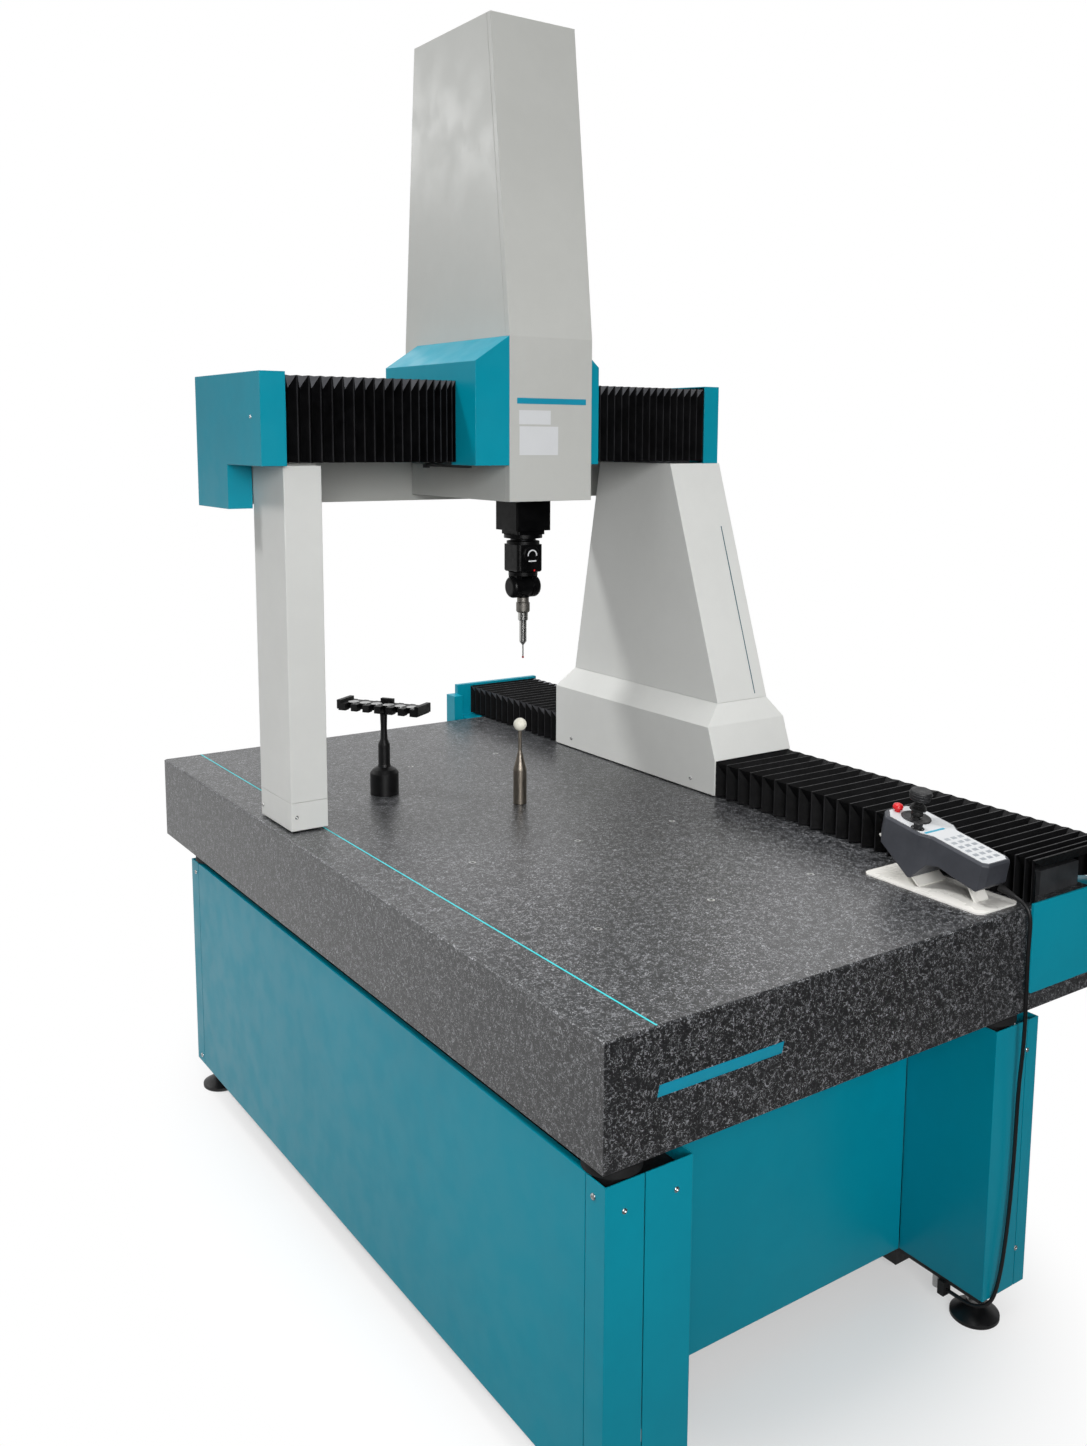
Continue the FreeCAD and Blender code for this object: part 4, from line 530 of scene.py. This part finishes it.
def bellows(name, node, bodies, place, start, finish, pleats, growth, across, height, pleat, gusset_drop,
            gusset_cloth, plate=None):
    """Folding way cover in short lengths.

    place turns (along, across, up) into a point. Odd stations are valleys; at each upper corner a
    triangular gusset joins two crests and drops to the valley."""
    (left, right), (bottom, top) = across, height
    spots = stations(start, finish, pleats, growth)
    marks = [0, 1] + list(range(3, pleats - 2, 3)) + [pleats - 1, pleats]
    if marks[-3] == pleats - 2:
        marks.pop(-3)
    # second cloth: the gussets, where a grey cloth is painted light; third cloth: the crest bands, whose lighter grey
    # is a painted highlight
    cloth = [MATERIALS["bellows"], gusset_cloth, CREST_PAINTED_HIGHLIGHT]
    crest = [(left, bottom), (left, top), (right, top), (right, bottom)]
    valley = [(left + pleat, bottom), (left + pleat, top - gusset_drop), (left + CORNER_IN, top - CORNER_DOWN),
              (left + gusset_drop, top - pleat), (right - gusset_drop, top - pleat),
              (right - CORNER_IN, top - CORNER_DOWN), (right - pleat, top - gusset_drop), (right - pleat, bottom)]
    for number, (a, b) in enumerate(zip(marks, marks[1:])):
        points, faces, kinds = [], [], []

        def ring(along, outline):
            first = len(points)
            points.extend(place(along, u, v) for u, v in outline)
            return list(range(first, first + len(outline)))

        def strip(one, two, kind):
            for i in range(len(one) - 1):
                faces.append([one[i], one[i + 1], two[i + 1], two[i]])
                kinds.append(kind)

        def flank(c, v):
            for shape, kind in (([c[0], c[1], v[1], v[0]], 0), ([c[1], v[2], v[1]], 1), ([c[1], v[3], v[2]], 1),
                                ([c[1], c[2], v[4], v[3]], 0), ([c[2], v[5], v[4]], 1), ([c[2], v[6], v[5]], 1),
                                ([c[2], c[3], v[7], v[6]], 0)):
                faces.append(shape)
                kinds.append(kind)

        sign = 1 if finish > start else -1
        last = None
        if plate is not None and a == 0:
            last = ring(plate, crest)
        for k in range(a, b + 1):
            here = spots[2 * k]
            room = min([abs(spots[j] - here) for j in (2 * k - 1, 2 * k + 1) if 0 <= j < len(spots)])
            half = min(WELT_HALF, WELT_SHARE * room) * sign
            near = ring(here - half if k > a else here, crest)
            if last is not None:
                if k == a:
                    strip(last, near, 0)
                else:
                    flank(near, last)
            middle = near
            if k < b or k == marks[-1]:
                far = ring(here + half if k < b else here + 0.01 * sign, crest)
                strip(near, far, 2)
                middle = far
            else:
                far = ring(here, crest)
                strip(near, far, 2)
            if k < b:
                last = ring(spots[2 * k + 1], valley)
                flank(middle, last)
        made = piece("%s_%02d" % (name, number + 1), None, points, faces, cloth, kinds)
        mesh = made.data
        bm = bmesh.new()
        bm.from_mesh(mesh)
        bmesh.ops.remove_doubles(bm, verts=bm.verts, dist=2e-6)
        bmesh.ops.recalc_face_normals(bm, faces=bm.faces)
        bmesh.ops.solidify(bm, geom=bm.faces[:], thickness=CLOTH_THICK * MM)
        bm.to_mesh(mesh)
        bm.free()
        fixed, moving = spots[0], spots[-1]
        ends = [spread(min(max((spots[2 * k] - fixed) / (moving - fixed), 0.0), 1.0)) for k in (a, b)]
        length = (spots[2 * b] - spots[2 * a]) / (ends[1] - ends[0])
        begin = spots[2 * a] - ends[0] * length
        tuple(place(begin, left, bottom))
        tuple(place(begin + length, left, bottom))
        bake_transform(made)
        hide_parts(node)


def along_y(along, across, up):
    return at(across, along, up)


def along_x(along, across, up):
    return at(along, across, up)


GUIDE_SECTION = ((905.0, 1125.0), (2.0, 80.0))
BEAM_SECTION = ((1062.0, 1374.0), (736.0, 902.0))


def make_bellows():
    """Covers of the right-hand guide in front of and behind the leg, and of the beam beside the carriage."""
    guide, beam = ("base", "bridge"), ("carriage", "bridge")
    bellows("y_bellows_front_fold", "y_bellows_front", guide, along_y, 3.3, 819.3, 26, 1.22,
            *GUIDE_SECTION, 17.0, 34.0, MATERIALS["bellows"], plate=0.3)
    bellows("y_bellows_rear_fold", "y_bellows_rear", guide, along_y, 1884.5, 1438.7, 15, 1.05,
            *GUIDE_SECTION, 14.0, 26.0, GUSSET_PAINTED_LIGHT)
    bellows("x_bellows_left_fold", "x_bellows_left", beam, along_x, 389.5, 18.5, 19, 1.28,
            *BEAM_SECTION, 16.0, 24.0, GUSSET_PAINTED_LIGHT)
    bellows("x_bellows_right_fold", "x_bellows_right", beam, along_x, 737.5, 1056.5, 16, 1.0,
            *BEAM_SECTION, 16.0, 24.0, GUSSET_PAINTED_LIGHT)


make_bellows()


# ---------------------------------------------------------------- details
def quad(name, body, spots, direction, thick, material):
    return slab(name, body, [at(*s) for s in spots], direction, thick, material)


def front_plate(name, body, x0, x1, z0, z1, y, thick, material, slant=0.0):
    """Plate on a face that looks to the front; slant leans its ends over."""
    return quad(name, body, [(x0, y, z0), (x1, y, z0), (x1 + slant, y, z1), (x0 + slant, y, z1)], (0, -1, 0), thick,
                material)


def make_printed_marks():
    """Plain accent bars and blank plates where the maker's signs would be."""
    front_plate("column_accent", "carriage", 489, 662, 856, 868, 983, 0.25, INK_TEAL)
    front_plate("column_plate_upper", "carriage", 494, 572, 814, 843, 983, 0.3, WHITE_FILM)
    front_plate("column_plate_lower", "carriage", 495, 591, 751, 810, 983, 0.3, WHITE_FILM)
    front_plate("granite_accent", "base", 90, 323, -103, -86, 0, 0.3, INK_TEAL, 4.0)


def make_leg_line():
    """Fine printed line on the leaning front of the right leg."""
    low, high = (1066, 872.8, 208), (1066, 1002.2, 585)
    spots = [low, (low[0] + 2.6, *low[1:]), (high[0] + 2.6, *high[1:]), high]
    quad("leg_accent", "bridge", spots, (0, low[2] - high[2], high[1] - low[1]), 0.25, INK_DARK)


PENDANT = (849, 143, 100.6)   # middle of the pendant's face
TILT = math.radians(10.3)
PLATE_RISE = 0.35
JOYSTICK, SPEED_KNOB = (0, 68), (-33, 36)
KEY_ROWS, KEY_COLUMNS = 6, 3
KEY_STEP_X, KEY_STEP_Y = 17.5, 15.5
KEY_WIDTH, KEY_HEIGHT = 11, 7.5


def on_face(x, y, lift=0.0):
    """Point given across, along and above the pendant's tilted face."""
    return at(PENDANT[0] + x, PENDANT[1] + y * math.cos(TILT) - lift * math.sin(TILT),
              PENDANT[2] + y * math.sin(TILT) + lift * math.cos(TILT))


def make_pendant_marks():
    """Black dishes round the joystick and the speed knob, a blank accent bar and blank keys."""
    out = on_face(0, 0, 1) - on_face(0, 0)
    black = MATERIALS["knob_black"]
    dish = [(27, 0), (27, 1.7), (26, 2.4), (23, 2.5), (20.5, 1.6), (17, 1.1), (10, 0.9), (10, 0)]
    turned("joystick_dish", "base", on_face(*JOYSTICK), out, dish, black, 48, closed=True)
    seat = [(12, 0), (12, 0.9), (11, 1.5), (9.6, 1.4), (8.6, 0.6), (8.6, 0)]
    turned("speed_dish", "base", on_face(*SPEED_KNOB), out, seat, black, 40, closed=True)
    for number, (radius, height) in enumerate(((17.6, 38.0), (19.4, 43.0), (20.2, 48.0))):
        rib = [(radius - 2.5, height - 1.2), (radius + 0.4, height - 1.2), (radius + 0.9, height),
               (radius + 0.4, height + 1.2), (radius - 2.5, height + 1.2)]
        turned("joystick_rib_%d" % number, "stick_knob", on_face(*JOYSTICK), out, rib, black,
               48, closed=True)

    def pad(name, x0, x1, y0, y1, material):
        spots = [on_face(x, y, PLATE_RISE) for x, y in ((x0, y0), (x1, y0), (x1, y1), (x0, y1))]
        slab(name, "base", spots, out, 0.3, material)

    pad("pendant_accent", -37, 15, 13.5, 18.5, INK_TEAL)
    for row in range(KEY_ROWS):
        for column in range(KEY_COLUMNS):
            x, y = -23 + KEY_STEP_X * column, -14 - KEY_STEP_Y * row
            pad("key_%d_%d" % (row, column), x, x + KEY_WIDTH, y - KEY_HEIGHT, y, GREY_FILM)


def make_head_marks():
    """Blank dial arc and bar on the head's round cover, and its status lamp."""
    front, x, z = 1056.0, 575.0, 534.5
    sweep = [math.radians(195 * i / 12 - 7.5) for i in range(13)]
    spots = [(x + 12.5 * math.cos(turn), front, z + 12.5 * math.sin(turn)) for turn in sweep]
    spots += [(x + 9.5 * math.cos(turn), front, z + 9.5 * math.sin(turn)) for turn in reversed(sweep)]
    quad("head_dial", "ram_unit", spots, (0, -1, 0), 0.3, WHITE_FILM)
    front_plate("head_bar", "ram_unit", x - 10, x + 10, z - 14, z - 11, front, 0.3, WHITE_FILM)
    lens = [(2.4, 0.0), (2.4, 0.8), (1.8, 1.5), (0.8, 1.9)]
    turned("head_lamp", "ram_unit", at(583, 1060.5, 501), (0, -1, 0), lens, MATERIALS["red_cap"], 20)


RACK = (310, 1250, 202)       # middle of the tray's top
RACK_TURN = math.radians(-57.0)
RACK_BAYS, BAY_STEP = 6, 29.5


def make_rack_lids():
    """Steel lids over the ports of the change rack's tray."""
    lid = [(12.2, 0.0), (12.2, 1.0), (11.6, 1.5), (4.0, 1.6)]
    across, along = math.cos(RACK_TURN), math.sin(RACK_TURN)
    for bay in range(RACK_BAYS):
        x, y = (bay + 0.5 - RACK_BAYS / 2) * BAY_STEP, -4.0
        place = at(RACK[0] + x * across - y * along, RACK[1] + x * along + y * across, RACK[2])
        turned("rack_lid_%d" % bay, "base", place, (0, 0, 1), lid, MATERIALS["pad_metal"], 32)


def make_wiper():
    """Black wiper strip along the foot of the carriage's left side cover."""
    z = 729.5
    for name, x0, x1, y0, y1, thick in (("wiper_strip", 391, 396, 1009, 1196, 5.0),
                                        ("wiper_end", 389, 398, 1190, 1204, 8.0)):
        spots = [(x0, y0, z), (x1, y0, z), (x1, y1, z), (x0, y1, z)]
        quad(name, "carriage", spots, (0, 0, -1), thick, MATERIALS["rubber"])


def low_corner(node):
    """Left, front and bottom of a node's box, in millimetres from the granite's corner."""
    return (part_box(node)[0] - CORNER) / MM


def make_screws():
    """Socket screws that hold the panels and covers."""
    base, bridge = "base", "bridge"
    left, front = (-1, 0, 0), (0, -1, 0)
    face = low_corner("left_side_panel").x
    for number, (y, z) in enumerate(((1660, -243), (1660, -705), (42, -243), (42, -700))):
        screw("side_screw_%d" % number, base, at(face, y, z), left)
    strip = low_corner("front_left_post_cover").y
    for number, (x, z) in enumerate(((48, -262), (140, -262), (48, -700), (140, -700))):
        screw("post_screw_%d" % number, base, at(x, strip, z), front, 4.5)
    for number, z in enumerate((-273, -650)):
        screw("pillar_screw_%d" % number, base, at(935, 15, z), front, 4.5)
    screw("cap_screw", bridge, at(low_corner("beam_end_cap_left").x, 1107, 823), left, 3.6)
    foot = low_corner("left_foot_cover")
    screw("foot_screw_0", bridge, at(foot.x, 1229, 25), left, 4.0)
    screw("foot_screw_1", bridge, at(30, foot.y, 32), front, 4.0)
    skirt = low_corner("right_leg_skirt").x
    for number, y in enumerate((899, 1371)):
        screw("skirt_screw_%d" % number, bridge, at(skirt, y, 26), left, 4.5)


make_printed_marks()
make_leg_line()
make_pendant_marks()
make_head_marks()
make_rack_lids()
make_wiper()
make_screws()


# ---------------------------------------------------------------- studio
WHITE = (1, 1, 1, 1)
FLOOR_HALF = 30.0             # metres
FLOOR_OVAL = 0.62             # width of the shadowed oval against its length
FLOOR_NEAR, FLOOR_FAR = 850.0, 1400.0
FLOOR_LIFT = 0.4              # share of pure white near the object
DARK_SIDE = 0.02              # what sheen shows in front
FLOOR_SHEEN = 0.85            # what sheen shows on the floor behind
FILL = 0.3                    # even light for matt surfaces
BOUNCE = 0.16                 # light off the open floor for matt surfaces


def make_floor():
    """Pale floor that keeps the shadow near the object and fades into the white background."""
    half = FLOOR_HALF
    mesh = bpy.data.meshes.new("floor")
    mesh.from_pydata([(-half, -half, 0), (half, -half, 0), (half, half, 0), (-half, half, 0)], [], [[0, 1, 2, 3]])
    floor = bpy.data.objects.new("floor", mesh)
    SCENE.collection.objects.link(floor)
    floor.location.z = LOW.z
    material, tree, shader, mm = bare_surface("matt_studio_paper")
    cloud = add(tree, "ShaderNodeTexNoise", {"Vector": mm, "Scale": 1 / 300}).outputs["Fac"]
    paper = add(tree, "ShaderNodeMix", {0: cloud, 6: hexed("F7F7F7"), 7: hexed("FAFAFA")}, data_type="RGBA")
    plug(tree, shader, {"Base Color": paper.outputs[2], "Roughness": 0.9, "Specular IOR Level": 0.1})
    oval = add(tree, "ShaderNodeMapping", {"Vector": mm, "Scale": (1 / FLOOR_OVAL, 1.0, 0.0)}).outputs[0]
    reach = add(tree, "ShaderNodeVectorMath", {0: oval}, operation="LENGTH").outputs["Value"]
    depth = add(tree, "ShaderNodeSeparateXYZ", {0: mm}).outputs[1]
    path = add(tree, "ShaderNodeLightPath").outputs
    fade, bounce, sheen = [add(tree, "ShaderNodeMapRange", {
        "Value": value, "From Min": near, "From Max": far, "To Min": least, "To Max": most},
        interpolation_type="SMOOTHSTEP").outputs[0]
        for value, near, far, least, most in (
            (reach, FLOOR_NEAR, FLOOR_FAR, FLOOR_LIFT, 1.0), (reach, 700.0, 1500.0, 0.03, BOUNCE),
            (depth, -2500.0, 1500.0, DARK_SIDE, FLOOR_SHEEN))]
    share = add(tree, "ShaderNodeMath", {0: fade, 1: path["Is Camera Ray"]}, operation="MULTIPLY").outputs[0]
    seen = shader.outputs[0]
    for factor, strength in ((share, 1.0), (path["Is Diffuse Ray"], bounce), (path["Is Glossy Ray"], sheen)):
        glow = add(tree, "ShaderNodeEmission", {"Color": WHITE, "Strength": strength}).outputs[0]
        seen = add(tree, "ShaderNodeMixShader", {0: factor, 1: seen, 2: glow}).outputs[0]
    plug(tree, tree.nodes["Material Output"], {"Surface": seen})
    mesh.materials.append(material)


def lamp(name, place, aim, size, power, spread=180.0, sheen_only=False):
    """Soft rectangular lamp; one that is for sheen only lights no matt surface."""
    data = bpy.data.lights.new(name, "AREA")
    data.shape = "RECTANGLE"
    data.size, data.size_y = size
    data.energy = power
    data.spread = math.radians(spread)
    made = bpy.data.objects.new(name, data)
    SCENE.collection.objects.link(made)
    made.location = place
    made.rotation_euler = (Vector(aim) - Vector(place)).to_track_quat("-Z", "Y").to_euler()
    made.visible_camera = False
    made.visible_diffuse = not sheen_only


def high_key(toward, strength, angle):
    """Distant high lamp behind the left side, which throws the bridge's shadow over the table."""
    data = bpy.data.lights.new("high_key", "SUN")
    data.energy = strength
    data.angle = math.radians(angle)
    made = bpy.data.objects.new("high_key", data)
    SCENE.collection.objects.link(made)
    made.rotation_euler = Vector(toward).to_track_quat("Z", "Y").to_euler()
    made.visible_glossy = False


def make_world():
    """White studio: even fill for matt surfaces, and for sheen bright behind and dim in front."""
    world = bpy.data.worlds.new("studio")
    SCENE.world = world
    world.use_nodes = True
    tree = world.node_tree
    back = tree.nodes["Background"]
    back.inputs["Color"].default_value = WHITE
    path = add(tree, "ShaderNodeLightPath").outputs
    direct = add(tree, "ShaderNodeMath", {0: path["Is Camera Ray"], 1: path["Is Transmission Ray"]},
                 operation="MAXIMUM").outputs[0]
    ways = add(tree, "ShaderNodeSeparateXYZ", {
        0: add(tree, "ShaderNodeTexCoord").outputs["Generated"]}).outputs
    behind, raised = [add(tree, "ShaderNodeMapRange", {
        "Value": way, "From Min": start, "From Max": end, "To Min": least, "To Max": 1.0},
        interpolation_type="SMOOTHSTEP").outputs[0]
        for way, start, end, least in ((ways[1], -0.45, 0.5, DARK_SIDE), (ways[2], 0.02, 0.32, 0.3))]
    sheen = add(tree, "ShaderNodeMath", {0: behind, 1: raised}, operation="MULTIPLY").outputs[0]
    glossy = add(tree, "ShaderNodeMix", {"Factor": path["Is Glossy Ray"], "A": FILL, "B": sheen}).outputs[0]
    strength = add(tree, "ShaderNodeMix", {"Factor": direct, "A": glossy, "B": 1.0}).outputs[0]
    tree.links.new(strength, back.inputs["Strength"])


make_floor()
make_world()
lamp("key", (-1.8, -3.9, 2.3), (0, 0, 1.3), (2.4, 1.8), 27, 75.0)
lamp("top", (-0.4, -0.2, 9.0), (0, 0, 0.8), (5.0, 5.0), 110, 100.0)
high_key((-0.62, 0.5, 1.0), 1.5, 8.0)
lamp("column_sheen", (-1.7, 3.2, 2.95), at(471, 1250, 1400), (0.9, 0.35), 6, 180.0, True)
lamp("slope_sheen", (0.9, 3.0, 3.3), at(450, 1080, 970), (0.9, 0.5), 1, 180.0, True)
SCENE.view_settings.view_transform = "Standard"
